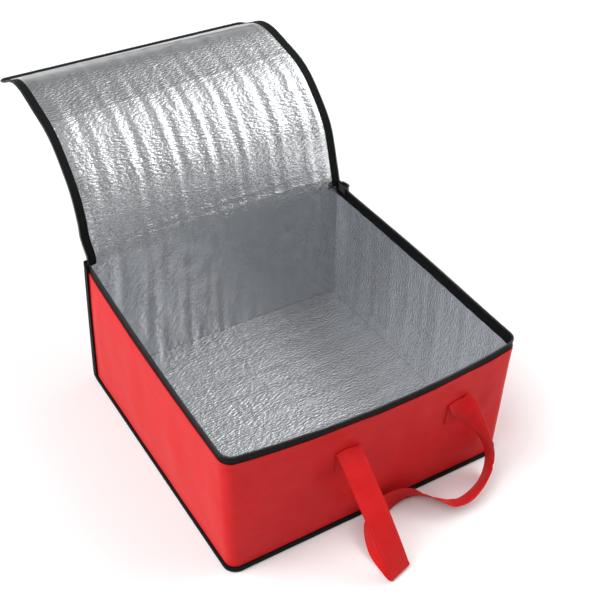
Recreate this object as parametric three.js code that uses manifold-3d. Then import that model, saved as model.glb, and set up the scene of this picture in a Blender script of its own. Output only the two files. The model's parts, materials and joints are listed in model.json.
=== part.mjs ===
// Insulated carrier bag: a square, soft-sided box of red non-woven fabric lined with foil-faced foam.
// The lid and the back panel are one laminate, and a zip runs round the other three sides of the rim.
// Millimetres, +Z up. The origin is on the floor under the middle of the base, and the front is at -Y.
import * as THREE from 'three';
import { mergeVertices } from 'three/addons/utils/BufferGeometryUtils.js';
import Module from 'manifold-3d';

const wasm = await Module();
wasm.setup();

// Driving dimensions of the box
const BAG_WIDTH = 400;
const BAG_DEPTH = 400;
const BAG_HEIGHT = 200;
const FRONT_CORNER_RADIUS = 14;
const CORNER_STEPS = 6;

// Layers, and the gap that is left between pieces that touch
const OUTER_THICKNESS = 1;
const LINING_THICKNESS = 3.5;
const SEAT_GAP = 0.3;

// Binding tape that covers the raw seams at the base and at the two back corners
const BINDING_HEIGHT = 8;
const BASE_BINDING_THICKNESS = 3;
const CORNER_BINDING_THICKNESS = 1.5;

// Zip: one tape half on the rim, one on the lid, each with its coil along the free edge
const TAPE_SHOWING = 13;
const TAPE_TUCK = 4;
const TAPE_THICKNESS = 1.5;
const COIL_SIZE = 3;
const COIL_CHAMFER = 0.8;
const STOP_LENGTH = 4;
const STOP_WALL = 0.9;
const LID_TAPE_START = 10;

// Slider with its bail, and the pull that hangs on the bail
const SLIDER_LENGTH = 15;
const SLIDER_NOSE = 7;
const SLIDER_PLATE = 1.5;
const SLIDER_DROP = 7;
const SLIDER_NECK = 2.6;
const RUNNING_GAP = 0.4;
const BAR_RADIUS = 0.8;
const BAR_LENGTH = 5.6;
const BAIL_EAR = 1.6;
const BAIL_EAR_MARGIN = 0.4;
const KNUCKLE_LENGTH = 4.9;
const KNUCKLE_WALL = 0.9;
const KNUCKLE_BORE_GAP = 0.35;
const PULL_LENGTH = 32;
const PULL_WIDTH = 8;
const PULL_THICKNESS = 1.6;
const ROUND_SIDES = 12;

// Lid: the sheet bends where it was folded for packing, so it is a row of strips. Each strip has its
// length and its slope above the horizontal while the lid stands open; the last one ends at the zip.
const LID_STRIPS = [
  { length: 85, slope: 78 },
  { length: 90, slope: 41 },
  { length: 125, slope: 9 },
  { length: null, slope: -25 },
];
const CLOSED_SLOPE = 180;
const HINGE_FOLD_GAP = 1;

// Handles: a strap sewn on at two patches, folded over at the top of each patch
const STRAP_WIDTH = 33;
const STRAP_THICKNESS = 1.4;
const PATCH_LENGTH = 34;
const FOLD_HEIGHT = 143;
const PATCH_LEFT_X = -46;
const PATCH_RIGHT_X = 112;
const BACK_STRAP_SPREAD = 50;
const STRAP_STEPS = 4;
const FLOOR_GAP = 0.3;

// Finishes
const RED_FABRIC = { color: 0xc4242b, roughness: 0.55, metalness: 0 };
const FOIL = { color: 0xc9ccd1, roughness: 0.32, metalness: 0.9 };
const BLACK_TAPE = { color: 0x17171a, roughness: 0.8, metalness: 0 };
const BLACK_COIL = { color: 0x232327, roughness: 0.45, metalness: 0 };
const BLACK_ENAMEL = { color: 0x1b1b1e, roughness: 0.35, metalness: 0.4 };

// Sizes that follow
const halfWidth = BAG_WIDTH / 2;
const halfDepth = BAG_DEPTH / 2;
const liningOffset = OUTER_THICKNESS + SEAT_GAP;
const wallThickness = liningOffset + LINING_THICKNESS;
const outerTop = BAG_HEIGHT - TAPE_SHOWING;
const liningTop = outerTop - TAPE_TUCK;
const coilCentreOffset = liningOffset + TAPE_THICKNESS / 2;
const hingeY = halfDepth - wallThickness;
const foldZ = FOLD_HEIGHT - SEAT_GAP;

// Heights inside the closed lid, counted from its lining face up
const lidThickness = wallThickness;
const lidTapeTop = LINING_THICKNESS;
const lidTapeBottom = lidTapeTop - TAPE_THICKNESS;
const lidCoilBottom = (lidTapeTop + lidTapeBottom - COIL_SIZE) / 2;
const hingeZ = BAG_HEIGHT + SLIDER_NECK + 2 * RUNNING_GAP - lidCoilBottom;

const bag = new THREE.Group();

function addPiece(parent, name, geometry, finish) {
  const mesh = new THREE.Mesh(geometry, new THREE.MeshStandardMaterial(finish));
  mesh.name = name;
  parent.add(mesh);
  return mesh;
}

// Skin over a row of rings with the same number of points, capped at both ends unless it closes on itself
function loft(rings, closed = false) {
  const sides = rings[0].length;
  const spans = closed ? rings.length : rings.length - 1;
  const positions = rings.flat().flatMap((point) => point.toArray());
  const triangles = [];
  for (let span = 0; span < spans; span += 1) {
    const here = span * sides;
    const there = ((span + 1) % rings.length) * sides;
    for (let side = 0; side < sides; side += 1) {
      const next = (side + 1) % sides;
      triangles.push(here + side, here + next, there + side);
      triangles.push(here + next, there + next, there + side);
    }
  }
  if (!closed) {
    capRing(rings[0], 0, true, triangles);
    capRing(rings.at(-1), (rings.length - 1) * sides, false, triangles);
  }
  const geometry = new THREE.BufferGeometry();
  geometry.setAttribute('position', new THREE.Float32BufferAttribute(positions, 3));
  geometry.setIndex(signedVolume(positions, triangles) < 0 ? triangles.reverse() : triangles);
  geometry.computeVertexNormals();
  return geometry;
}

// End cap: the ring is laid flat in its own plane and cut into triangles
function capRing(ring, first, reversed, triangles) {
  const normal = new THREE.Vector3();
  ring.forEach((point, i) => normal.add(point.clone().cross(ring[(i + 1) % ring.length])));
  const across = ring[1].clone().sub(ring[0]).normalize();
  const along = normal.normalize().clone().cross(across);
  const flat = ring.map((point) => new THREE.Vector2(point.dot(across), point.dot(along)));
  for (const [a, b, c] of THREE.ShapeUtils.triangulateShape(flat, [])) {
    const corners = reversed ? [first + a, first + c, first + b] : [first + a, first + b, first + c];
    triangles.push(...corners);
  }
}

function signedVolume(positions, triangles) {
  const corner = (i) => new THREE.Vector3().fromArray(positions, 3 * triangles[i]);
  let volume = 0;
  for (let i = 0; i < triangles.length; i += 3) {
    volume += corner(i).dot(corner(i + 1).cross(corner(i + 2))) / 6;
  }
  return volume;
}

// Quarter round in plan: points on the outer face, each with its outward normal
function cornerRound(signX, signY, radius, startAngle) {
  const centre = new THREE.Vector2(signX * (halfWidth - radius), signY * (halfDepth - radius));
  return Array.from({ length: CORNER_STEPS + 1 }, (_, step) => {
    const angle = startAngle + ((Math.PI / 2) * step) / CORNER_STEPS;
    const normal = new THREE.Vector2(Math.cos(angle), Math.sin(angle));
    return { point: centre.clone().addScaledVector(normal, radius), normal };
  });
}

// The three walls in plan, from the left wall's back end round the front to the right wall's back end
function wallPath(backEnd) {
  const left = new THREE.Vector2(-1, 0);
  const right = new THREE.Vector2(1, 0);
  return [
    { point: new THREE.Vector2(-halfWidth, backEnd), normal: left },
    ...cornerRound(-1, -1, FRONT_CORNER_RADIUS, Math.PI),
    ...cornerRound(1, -1, FRONT_CORNER_RADIUS, 1.5 * Math.PI),
    { point: new THREE.Vector2(halfWidth, backEnd), normal: right },
  ];
}

// One straight stretch of the left or right wall in plan
function sidePath(side, backEnd, frontEnd) {
  const normal = new THREE.Vector2(side, 0);
  return [backEnd, frontEnd].map((y) => ({ point: new THREE.Vector2(side * halfWidth, y), normal }));
}

// All round the base in plan; the back corners are square
function basePath() {
  return [
    ...cornerRound(-1, 1, 0, Math.PI / 2),
    ...cornerRound(-1, -1, FRONT_CORNER_RADIUS, Math.PI),
    ...cornerRound(1, -1, FRONT_CORNER_RADIUS, 1.5 * Math.PI),
    ...cornerRound(1, 1, 0, 0),
  ];
}

// Carries a section of [distance inwards, height] corners along a path in plan
function sweep(path, section, closed = false) {
  const rings = path.map(({ point, normal }) => section.map(([inwards, height]) => new THREE.Vector3(
    point.x - normal.x * inwards,
    point.y - normal.y * inwards,
    height,
  )));
  return loft(rings, closed);
}

function rectangle(inwards, thickness, bottom, top) {
  return [[inwards, bottom], [inwards + thickness, bottom], [inwards + thickness, top], [inwards, top]];
}

// Coil: a square ridge with its corners taken off
function coilSection(centre, bottom) {
  const half = COIL_SIZE / 2;
  const flat = half - COIL_CHAMFER;
  const middle = bottom + half;
  return [[half, flat], [flat, half], [-flat, half], [-half, flat],
    [-half, -flat], [-flat, -half], [flat, -half], [half, -flat]].map(([a, b]) => [centre + a, middle + b]);
}

function box(x0, x1, y0, y1, z0, z1) {
  const geometry = new THREE.BoxGeometry(x1 - x0, y1 - y0, z1 - z0);
  return geometry.translate((x0 + x1) / 2, (y0 + y1) / 2, (z0 + z1) / 2);
}

// Flat sheet with rounded front corners, as far inside the outer face as told
function baseSheet(inwards, bottom, thickness) {
  const outline = wallPath(halfDepth - inwards).map(({ point, normal }) => (
    point.clone().addScaledVector(normal, -inwards)));
  const shape = new THREE.Shape(outline);
  const geometry = new THREE.ExtrudeGeometry(shape, { depth: thickness, bevelEnabled: false });
  return geometry.translate(0, 0, bottom);
}

function toSolid(geometry) {
  const bare = geometry.clone();
  bare.deleteAttribute('normal');
  bare.deleteAttribute('uv');
  const merged = mergeVertices(bare.index ? bare.toNonIndexed() : bare, 1e-4);
  return new wasm.Manifold(new wasm.Mesh({
    numProp: 3,
    vertProperties: new Float32Array(merged.attributes.position.array),
    triVerts: new Uint32Array(merged.index.array),
  }));
}

function fused(...geometries) {
  const solid = geometries.map(toSolid).reduce((sum, next) => sum.add(next));
  const mesh = solid.getMesh();
  const geometry = new THREE.BufferGeometry();
  geometry.setAttribute('position', new THREE.Float32BufferAttribute(mesh.vertProperties, 3));
  geometry.setIndex(Array.from(mesh.triVerts));
  geometry.computeVertexNormals();
  return geometry;
}

// Base: outer sheet on the floor, foam lining on it, and the binding round their edge
function addBase() {
  const liningBottom = OUTER_THICKNESS + SEAT_GAP;
  const band = rectangle(-SEAT_GAP - BASE_BINDING_THICKNESS, BASE_BINDING_THICKNESS, 0, BINDING_HEIGHT);
  addPiece(bag, 'base_outer', baseSheet(0, 0, OUTER_THICKNESS), RED_FABRIC);
  addPiece(bag, 'base_lining', baseSheet(liningOffset, liningBottom, LINING_THICKNESS), FOIL);
  addPiece(bag, 'base_binding', sweep(basePath(), band, true), BLACK_TAPE);
}

// Walls: one wrap for left, front and right, and a back panel that runs on into the lid
function addWalls() {
  const outerBottom = OUTER_THICKNESS + SEAT_GAP;
  const liningBottom = wallThickness + SEAT_GAP;
  const backTop = hingeZ - HINGE_FOLD_GAP;
  const wrapEnd = halfDepth - liningOffset;
  const wrapLiningEnd = hingeY - SEAT_GAP;
  const backHalf = halfWidth - liningOffset;
  const wrap = rectangle(0, OUTER_THICKNESS, outerBottom, outerTop);
  const wrapLining = rectangle(liningOffset, LINING_THICKNESS, liningBottom, liningTop);
  addPiece(bag, 'side_wrap_outer', sweep(wallPath(wrapEnd), wrap), RED_FABRIC);
  addPiece(bag, 'side_wrap_lining', sweep(wallPath(wrapLiningEnd), wrapLining), FOIL);
  addPiece(bag, 'back_outer', box(
    -halfWidth, halfWidth, halfDepth - OUTER_THICKNESS, halfDepth, outerBottom, backTop,
  ), RED_FABRIC);
  addPiece(bag, 'back_lining', box(
    -backHalf, backHalf, hingeY, halfDepth - liningOffset, liningBottom, backTop,
  ), FOIL);
}

// Binding folded round each back corner seam, standing on the base binding
function addCornerBindings() {
  const inner = SEAT_GAP;
  const outer = SEAT_GAP + CORNER_BINDING_THICKNESS;
  const corners = [[inner, -BINDING_HEIGHT], [outer, -BINDING_HEIGHT], [outer, outer],
    [-BINDING_HEIGHT, outer], [-BINDING_HEIGHT, inner], [inner, inner]];
  const bottom = BINDING_HEIGHT + SEAT_GAP;
  for (const [name, side] of [['back_left_binding', -1], ['back_right_binding', 1]]) {
    const rings = [bottom, BAG_HEIGHT].map((z) => corners.map(([x, y]) => (
      new THREE.Vector3(side * (halfWidth + x), halfDepth + y, z))));
    addPiece(bag, name, loft(rings), BLACK_TAPE);
  }
}

// Rim half of the zip: the tape is tucked behind the outer fabric and carries the coil on its top edge
function addRimZip() {
  const coilEnd = hingeY - SEAT_GAP - STOP_LENGTH - SEAT_GAP;
  const coilBottom = BAG_HEIGHT - COIL_SIZE;
  const tape = rectangle(liningOffset, TAPE_THICKNESS, liningTop + SEAT_GAP, coilBottom - SEAT_GAP);
  addPiece(bag, 'rim_zip_tape', sweep(wallPath(hingeY - SEAT_GAP), tape), BLACK_TAPE);
  const coil = coilSection(coilCentreOffset, coilBottom);
  addPiece(bag, 'rim_zip_coil', sweep(wallPath(coilEnd), coil), BLACK_COIL);
  const stop = rectangle(coilCentreOffset - COIL_SIZE / 2, COIL_SIZE, coilBottom, BAG_HEIGHT - STOP_WALL);
  for (const [name, side] of [['zip_stop_left', -1], ['zip_stop_right', 1]]) {
    const path = sidePath(side, hingeY - SEAT_GAP, hingeY - SEAT_GAP - STOP_LENGTH);
    addPiece(bag, name, sweep(path, stop), BLACK_ENAMEL);
  }
}

// Lid half of the zip on the closed lid, along any stretch of the wall path
function lidZip(path) {
  const tapeInner = TAPE_SHOWING + TAPE_TUCK;
  const tape = rectangle(
    coilCentreOffset, tapeInner - coilCentreOffset, hingeZ + lidTapeBottom, hingeZ + lidTapeTop,
  );
  return fused(sweep(path, tape), sweep(path, coilSection(coilCentreOffset, hingeZ + lidCoilBottom)));
}

// Lid: every piece is drawn on the closed lid, then each strip's group turns it open about its fold.
// The first fold is at the lining face, the others at the outer face, which stays short as the lid curls.
function addLid() {
  const outerHalf = halfWidth - TAPE_SHOWING;
  const liningHalf = outerHalf - TAPE_TUCK - SEAT_GAP;
  const outerFront = -halfDepth + TAPE_SHOWING;
  const liningFront = outerFront + TAPE_TUCK + SEAT_GAP;
  const outerBottom = hingeZ + LINING_THICKNESS + SEAT_GAP;
  let parent = bag;
  let parentFold = new THREE.Vector3();
  let parentSlope = CLOSED_SLOPE;
  let back = hingeY;
  LID_STRIPS.forEach((strip, index) => {
    const number = index + 1;
    const last = strip.length === null;
    const front = last ? -halfDepth : back - strip.length;
    const from = back - SEAT_GAP / 2;
    const to = front + SEAT_GAP / 2;
    const fold = new THREE.Vector3(0, back, index === 0 ? hingeZ : hingeZ + lidThickness);
    const group = new THREE.Group();
    group.position.copy(fold).sub(parentFold);
    group.rotation.x = THREE.MathUtils.degToRad(strip.slope - parentSlope);
    parent.add(group);
    const place = (geometry) => geometry.translate(-fold.x, -fold.y, -fold.z);
    addPiece(group, `lid_outer_${number}`, place(box(
      -outerHalf, outerHalf, last ? outerFront : to, from, outerBottom, hingeZ + lidThickness,
    )), RED_FABRIC);
    addPiece(group, `lid_lining_${number}`, place(box(
      -liningHalf, liningHalf, last ? liningFront : to, from, hingeZ, hingeZ + LINING_THICKNESS,
    )), FOIL);
    if (last) {
      addPiece(group, 'lid_zip_front', place(lidZip(wallPath(from))), BLACK_TAPE);
    } else {
      const start = index === 0 ? hingeY - LID_TAPE_START : from;
      addPiece(group, `lid_zip_left_${number}`, place(lidZip(sidePath(-1, start, to))), BLACK_TAPE);
      addPiece(group, `lid_zip_right_${number}`, place(lidZip(sidePath(1, start, to))), BLACK_TAPE);
    }
    parent = group;
    parentFold = fold;
    parentSlope = strip.slope;
    back = front;
  });
}

// Slider: two plates on the coils, joined by the nose between them, with a bail on the outer plate
const sliderBack = hingeY - 2 * SEAT_GAP - STOP_LENGTH - RUNNING_GAP;
const sliderMiddle = sliderBack - SLIDER_LENGTH / 2;
const coilX = halfWidth - coilCentreOffset;
const outerPlateX = coilX + COIL_SIZE / 2 + RUNNING_GAP;
const barX = outerPlateX + SLIDER_PLATE + BAR_RADIUS + KNUCKLE_BORE_GAP + KNUCKLE_WALL + RUNNING_GAP;
const barZ = BAG_HEIGHT + RUNNING_GAP + SLIDER_NECK / 2;

function addSlider() {
  const innerPlateX = coilX - COIL_SIZE / 2 - RUNNING_GAP;
  const neckBottom = BAG_HEIGHT + RUNNING_GAP;
  const neckTop = neckBottom + SLIDER_NECK;
  const sliderFront = sliderBack - SLIDER_LENGTH;
  const plateBottom = BAG_HEIGHT - SLIDER_DROP;
  const plateTop = neckTop + COIL_SIZE + 2 * RUNNING_GAP;
  const shield = new THREE.Shape();
  shield.moveTo(-SLIDER_LENGTH / 2, plateTop - COIL_SIZE);
  shield.lineTo(-SLIDER_LENGTH / 2 + COIL_SIZE, plateTop);
  shield.lineTo(SLIDER_LENGTH / 2, plateTop - COIL_SIZE / 2);
  shield.lineTo(SLIDER_LENGTH / 2, plateBottom + COIL_SIZE / 2);
  shield.lineTo(-SLIDER_LENGTH / 2 + COIL_SIZE, plateBottom);
  shield.lineTo(-SLIDER_LENGTH / 2, plateBottom + COIL_SIZE);
  const outerPlate = new THREE.ExtrudeGeometry(shield, { depth: SLIDER_PLATE, bevelEnabled: false });
  outerPlate.applyMatrix4(new THREE.Matrix4().makeBasis(
    new THREE.Vector3(0, 1, 0), new THREE.Vector3(0, 0, 1), new THREE.Vector3(1, 0, 0),
  ));
  outerPlate.translate(outerPlateX, sliderMiddle, 0);
  const innerPlate = box(
    innerPlateX - SLIDER_PLATE, innerPlateX, sliderFront, sliderBack, plateBottom, neckTop,
  );
  const overlap = SLIDER_PLATE / 2;
  const neck = box(
    innerPlateX - overlap, outerPlateX + overlap, sliderFront, sliderFront + SLIDER_NOSE, neckBottom, neckTop,
  );
  const bar = new THREE.CylinderGeometry(BAR_RADIUS, BAR_RADIUS, BAR_LENGTH + BAIL_EAR, ROUND_SIDES);
  bar.translate(barX, sliderMiddle, barZ);
  const earHalf = BAR_RADIUS + BAIL_EAR_MARGIN;
  const ears = [-1, 1].map((end) => {
    const near = sliderMiddle + end * (BAR_LENGTH / 2);
    const far = near + end * BAIL_EAR;
    return box(
      outerPlateX + overlap, barX + earHalf, Math.min(near, far), Math.max(near, far),
      barZ - earHalf, barZ + earHalf,
    );
  });
  addPiece(bag, 'zip_slider', fused(outerPlate, innerPlate, neck, ...ears, bar), BLACK_ENAMEL);
}

// Pull: a knuckle round the bail's bar and a flat tab with a rounded end hanging from it
function addPull() {
  const bore = BAR_RADIUS + KNUCKLE_BORE_GAP;
  const knuckle = new THREE.Shape().absarc(0, 0, bore + KNUCKLE_WALL, 0, 2 * Math.PI, false);
  knuckle.holes.push(new THREE.Path().absarc(0, 0, bore, 0, 2 * Math.PI, true));
  const barrel = new THREE.ExtrudeGeometry(knuckle, {
    depth: KNUCKLE_LENGTH, bevelEnabled: false, curveSegments: ROUND_SIDES,
  });
  barrel.rotateX(Math.PI / 2).translate(0, KNUCKLE_LENGTH / 2, 0);
  const shoulder = bore + KNUCKLE_WALL + RUNNING_GAP + BAR_RADIUS;
  const tipCentre = PULL_LENGTH - PULL_WIDTH / 2;
  const outline = new THREE.Shape();
  outline.moveTo(-KNUCKLE_LENGTH / 2, -bore - KNUCKLE_WALL / 2);
  outline.lineTo(-KNUCKLE_LENGTH / 2, -shoulder);
  outline.lineTo(-PULL_WIDTH / 2, -shoulder - PULL_WIDTH / 4);
  outline.lineTo(-PULL_WIDTH / 2, -tipCentre);
  outline.absarc(0, -tipCentre, PULL_WIDTH / 2, Math.PI, 2 * Math.PI, false);
  outline.lineTo(PULL_WIDTH / 2, -shoulder - PULL_WIDTH / 4);
  outline.lineTo(KNUCKLE_LENGTH / 2, -shoulder);
  outline.lineTo(KNUCKLE_LENGTH / 2, -bore - KNUCKLE_WALL / 2);
  const pull = fused(barrel, standingTab(outline));
  addPiece(bag, 'zip_pull', pull.translate(barX, sliderMiddle, barZ), BLACK_ENAMEL);
}

// Turns a flat outline of (along Y, up Z) into a plate that stands on the X axis
function standingTab(outline) {
  const plate = new THREE.ExtrudeGeometry(outline, {
    depth: PULL_THICKNESS, bevelEnabled: false, curveSegments: ROUND_SIDES,
  });
  plate.applyMatrix4(new THREE.Matrix4().makeBasis(
    new THREE.Vector3(0, 1, 0), new THREE.Vector3(0, 0, 1), new THREE.Vector3(1, 0, 0),
  ));
  return plate.translate(-PULL_THICKNESS / 2, 0, 0);
}

// Sewn patches: the strap's two ends, flat on the wall below the fold
function addPatches(prefix, wallSide) {
  const near = halfDepth + SEAT_GAP;
  const far = near + STRAP_THICKNESS;
  const [y0, y1] = wallSide < 0 ? [-far, -near] : [near, far];
  for (const [name, x] of [['left', PATCH_LEFT_X], ['right', PATCH_RIGHT_X]]) {
    addPiece(bag, `${prefix}_patch_${name}`, box(
      x - STRAP_WIDTH / 2, x + STRAP_WIDTH / 2, y0, y1, foldZ - PATCH_LENGTH, foldZ,
    ), RED_FABRIC);
  }
}

// Strap: a flat band carried along its route. A station is its middle and the way its width points there.
// Distances from the wall count outwards, and no edge comes into the wall's pieces or below the floor.
// Both ends are cut level along their folds, so that the strap swings about them clear of the wall.
function strap(stations, wallSide) {
  const middle = new THREE.CatmullRomCurve3(stations.map(({ x, out, z }) => (
    new THREE.Vector3(x, wallSide * (halfDepth + out), z))), false, 'centripetal');
  const width = new THREE.CatmullRomCurve3(stations.map(({ across }) => (
    new THREE.Vector3(across[0], wallSide * across[1], across[2]).normalize())), false, 'centripetal');
  const count = (stations.length - 1) * STRAP_STEPS;
  const rings = Array.from({ length: count + 1 }, (_, step) => {
    const t = step / count;
    const endCut = { 0: -1, [count]: 1 }[step];
    const along = endCut ? new THREE.Vector3(0, 0, endCut) : middle.getTangent(t);
    const across = width.getPoint(t);
    across.addScaledVector(along, -across.dot(along)).normalize();
    const face = along.clone().cross(across).normalize();
    const centre = middle.getPoint(t);
    const reach = new THREE.Vector3(...['x', 'y', 'z'].map((axis) => (
      (STRAP_WIDTH * Math.abs(across[axis]) + STRAP_THICKNESS * Math.abs(face[axis])) / 2)));
    centre.z = Math.max(centre.z, reach.z + FLOOR_GAP);
    const overBinding = centre.z - reach.z < BINDING_HEIGHT + SEAT_GAP;
    const wallStep = overBinding ? BASE_BINDING_THICKNESS : STRAP_THICKNESS;
    const nearest = halfDepth + wallStep + 2 * SEAT_GAP + reach.y;
    centre.y = wallSide * Math.max(wallSide * centre.y, nearest);
    const corners = [[-1, -1], [1, -1], [1, 1], [-1, 1]].map(([a, b]) => centre.clone()
      .addScaledVector(across, (a * STRAP_WIDTH) / 2)
      .addScaledVector(face, (b * STRAP_THICKNESS) / 2));
    corners.forEach((corner) => corner.setZ(Math.min(corner.z, foldZ)));
    return corners;
  });
  return loft(rings);
}

// Front strap as it lies: down from the left fold to the floor, doubled back under itself, along the foot
// of the wall on its edge, out over the floor and up to the right fold
function addHandles() {
  const foldOut = SEAT_GAP + STRAP_THICKNESS + SEAT_GAP + STRAP_THICKNESS / 2;
  const front = [
    { x: PATCH_LEFT_X, out: foldOut, z: foldZ, across: [1, 0, 0] },
    { x: -42, out: 24, z: 110, across: [1, 0, 0] },
    { x: -36, out: 54, z: 68, across: [1, 0, 0] },
    { x: -30, out: 85, z: 26, across: [1, -0.14, 0] },
    { x: -28, out: 97, z: 10, across: [1, -0.24, 0] },
    { x: -27, out: 102, z: 4, across: [1, -0.28, 0] },
    { x: -28, out: 98, z: 1, across: [1, -0.28, 0] },
    { x: -28, out: 84, z: 1, across: [1, -0.2, 0] },
    { x: -27, out: 62, z: 2, across: [1, -0.1, -0.05] },
    { x: -17, out: 34, z: 7, across: [0.9, 0.15, -0.4] },
    { x: 2, out: 17, z: 15, across: [0.4, 0.25, -0.9] },
    { x: 25, out: 12, z: 17, across: [0.05, 0, -1] },
    { x: 45, out: 14, z: 16, across: [0, -0.35, -0.95] },
    { x: 59, out: 20, z: 13, across: [0.1, -0.7, -0.7] },
    { x: 74, out: 36, z: 9, across: [0.1, -0.9, -0.42] },
    { x: 91, out: 50, z: 8, across: [0.05, -0.92, -0.42] },
    { x: 120, out: 48, z: 10, across: [0.15, -0.78, -0.58] },
    { x: 148, out: 35, z: 13, across: [0.3, -0.7, -0.62] },
    { x: 168, out: 22, z: 17, across: [0.38, -0.68, -0.62] },
    { x: 174, out: 17, z: 32, across: [0, -0.82, -0.5] },
    { x: 165, out: 8, z: 52, across: [-0.7, -0.25, -0.5] },
    { x: 147, out: 6, z: 82, across: [-0.87, -0.05, -0.47] },
    { x: 124, out: 4, z: 121, across: [-0.93, 0, -0.35] },
    { x: PATCH_RIGHT_X, out: foldOut, z: foldZ, across: [-1, 0, -0.1] },
  ];
  // Back strap: both ends hang outwards to the floor and the middle lies flat behind the bag
  const backMiddle = (PATCH_LEFT_X + PATCH_RIGHT_X) / 2;
  const leg = (x, turn) => [
    { x, out: foldOut, z: foldZ, across: [turn, 0, 0] },
    { x: x + turn * 0.3 * BACK_STRAP_SPREAD, out: 6, z: 100, across: [turn, 0, 0.3] },
    { x: x + turn * 0.7 * BACK_STRAP_SPREAD, out: 12, z: 55, across: [turn, 0.5, 0.4] },
    { x: x + turn * BACK_STRAP_SPREAD, out: 24, z: 22, across: [0.6 * turn, 0.9, 0.5] },
    { x: x + turn * 0.85 * BACK_STRAP_SPREAD, out: 33, z: 5, across: [0.15 * turn, 1, 0.1] },
    { x: x + turn * 0.3 * BACK_STRAP_SPREAD, out: 38, z: 1, across: [0, 1, 0] },
  ];
  const back = [
    ...leg(PATCH_LEFT_X, -1),
    { x: backMiddle, out: 42, z: 1, across: [0, 1, 0] },
    ...leg(PATCH_RIGHT_X, 1).reverse(),
  ];
  addPatches('front', -1);
  addPatches('back', 1);
  addPiece(bag, 'front_handle', strap(front, -1), RED_FABRIC);
  addPiece(bag, 'back_handle', strap(back, 1), RED_FABRIC);
}

addBase();
addWalls();
addCornerBindings();
addRimZip();
addLid();
addSlider();
addPull();
addHandles();

export default bag;
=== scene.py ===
# %% [markdown]
# # Insulated carrier bag
# A square, soft-sided bag stands open on a floor. Its walls are red coated fabric outside and crinkled foil
# on thin foam inside, a black zip runs round the rim, and the lid is one sheet with the back panel. The CAD
# model is the fixed frame: it says where every piece is and how it moves. The lesson dresses each soft
# solid with a surface worked out in numpy, and leaves the small metal pieces of the zip as they are.

# %% Frame and sizes
import json

import bpy
import numpy as np
from mathutils import Matrix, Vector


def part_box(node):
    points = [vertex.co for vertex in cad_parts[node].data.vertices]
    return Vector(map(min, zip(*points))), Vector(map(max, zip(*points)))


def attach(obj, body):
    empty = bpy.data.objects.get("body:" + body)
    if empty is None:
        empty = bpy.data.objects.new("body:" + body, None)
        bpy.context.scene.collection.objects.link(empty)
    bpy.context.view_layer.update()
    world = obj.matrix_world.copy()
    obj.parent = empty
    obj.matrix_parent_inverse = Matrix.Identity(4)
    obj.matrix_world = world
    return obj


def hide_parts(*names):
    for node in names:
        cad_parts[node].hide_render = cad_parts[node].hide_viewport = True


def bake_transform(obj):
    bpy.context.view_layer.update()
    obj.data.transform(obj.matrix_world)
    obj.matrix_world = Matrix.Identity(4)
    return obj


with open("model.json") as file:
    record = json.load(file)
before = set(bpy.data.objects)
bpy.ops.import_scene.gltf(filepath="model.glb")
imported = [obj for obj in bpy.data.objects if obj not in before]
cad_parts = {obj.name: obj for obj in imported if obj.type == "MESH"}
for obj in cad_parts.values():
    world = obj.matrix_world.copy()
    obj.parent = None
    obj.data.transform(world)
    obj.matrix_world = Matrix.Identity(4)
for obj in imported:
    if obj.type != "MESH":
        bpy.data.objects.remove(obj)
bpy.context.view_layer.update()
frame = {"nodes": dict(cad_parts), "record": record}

MM = 0.001
CORNER_RADIUS = 14 * MM
half_width, half_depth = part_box("back_outer")[1][:2]
rim_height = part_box("rim_zip_coil")[1].z
hem_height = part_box("side_wrap_outer")[1].z
fabric_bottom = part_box("side_wrap_outer")[0].z
lining_bottom, lining_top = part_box("side_wrap_lining")[0].z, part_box("side_wrap_lining")[1].z
fabric_thickness = half_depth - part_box("back_outer")[0].y
foam_inset = half_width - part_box("side_wrap_lining")[1].x
foam_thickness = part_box("back_lining")[1].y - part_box("back_lining")[0].y
patch_middles = [(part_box(name)[0].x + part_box(name)[1].x) / 2
                 for name in ("front_patch_left", "front_patch_right")]
fold_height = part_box("front_patch_left")[1].z
joints = {joint["name"]: joint for joint in frame["record"]["behaviour"]["joints"]}
follows = {pair["joint"]: pair["ratio"] for pair in frame["record"]["behaviour"]["couplings"]}

# %% [markdown]
# ## Camera
# The camera comes first, because everything is judged through it. Seven corners of the bag were found in
# the photograph, and a pinhole camera was fitted to them: a long lens, above the bag and to the left of its
# front.

# %% Camera
CAMERA_LENS, SENSOR_WIDTH = 66.94, 36.0
CAMERA_YAW, CAMERA_PITCH, CAMERA_ROLL = np.radians([-32.039, 38.689, 1.285])
CAMERA_DISTANCE = 1.5668
LOOK_AT = np.array([0.07391, 0.09696, 0.1])


def camera_axes(yaw, pitch, roll):
    """Right, up and backward directions of a camera turned by yaw, raised by pitch and then rolled."""
    back = np.array([np.sin(yaw) * np.cos(pitch), -np.cos(yaw) * np.cos(pitch), np.sin(pitch)])
    level = np.array([np.cos(yaw), np.sin(yaw), 0.0])
    upright = np.cross(back, level)
    right = np.cos(roll) * level + np.sin(roll) * upright
    return right, np.cross(back, right), back


camera_data = bpy.data.cameras.new("camera")
camera_data.lens = CAMERA_LENS
camera_data.sensor_width = SENSOR_WIDTH
camera = bpy.data.objects.new("camera", camera_data)
bpy.context.scene.collection.objects.link(camera)
axes = np.array(camera_axes(CAMERA_YAW, CAMERA_PITCH, CAMERA_ROLL)).T
camera_matrix = np.eye(4)
camera_matrix[:3, :3] = axes
camera_matrix[:3, 3] = LOOK_AT + CAMERA_DISTANCE * axes[:, 2]
camera.matrix_world = Matrix(camera_matrix.tolist())
bpy.context.scene.camera = camera
print("camera at", np.round(camera_matrix[:3, 3], 3))

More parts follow.
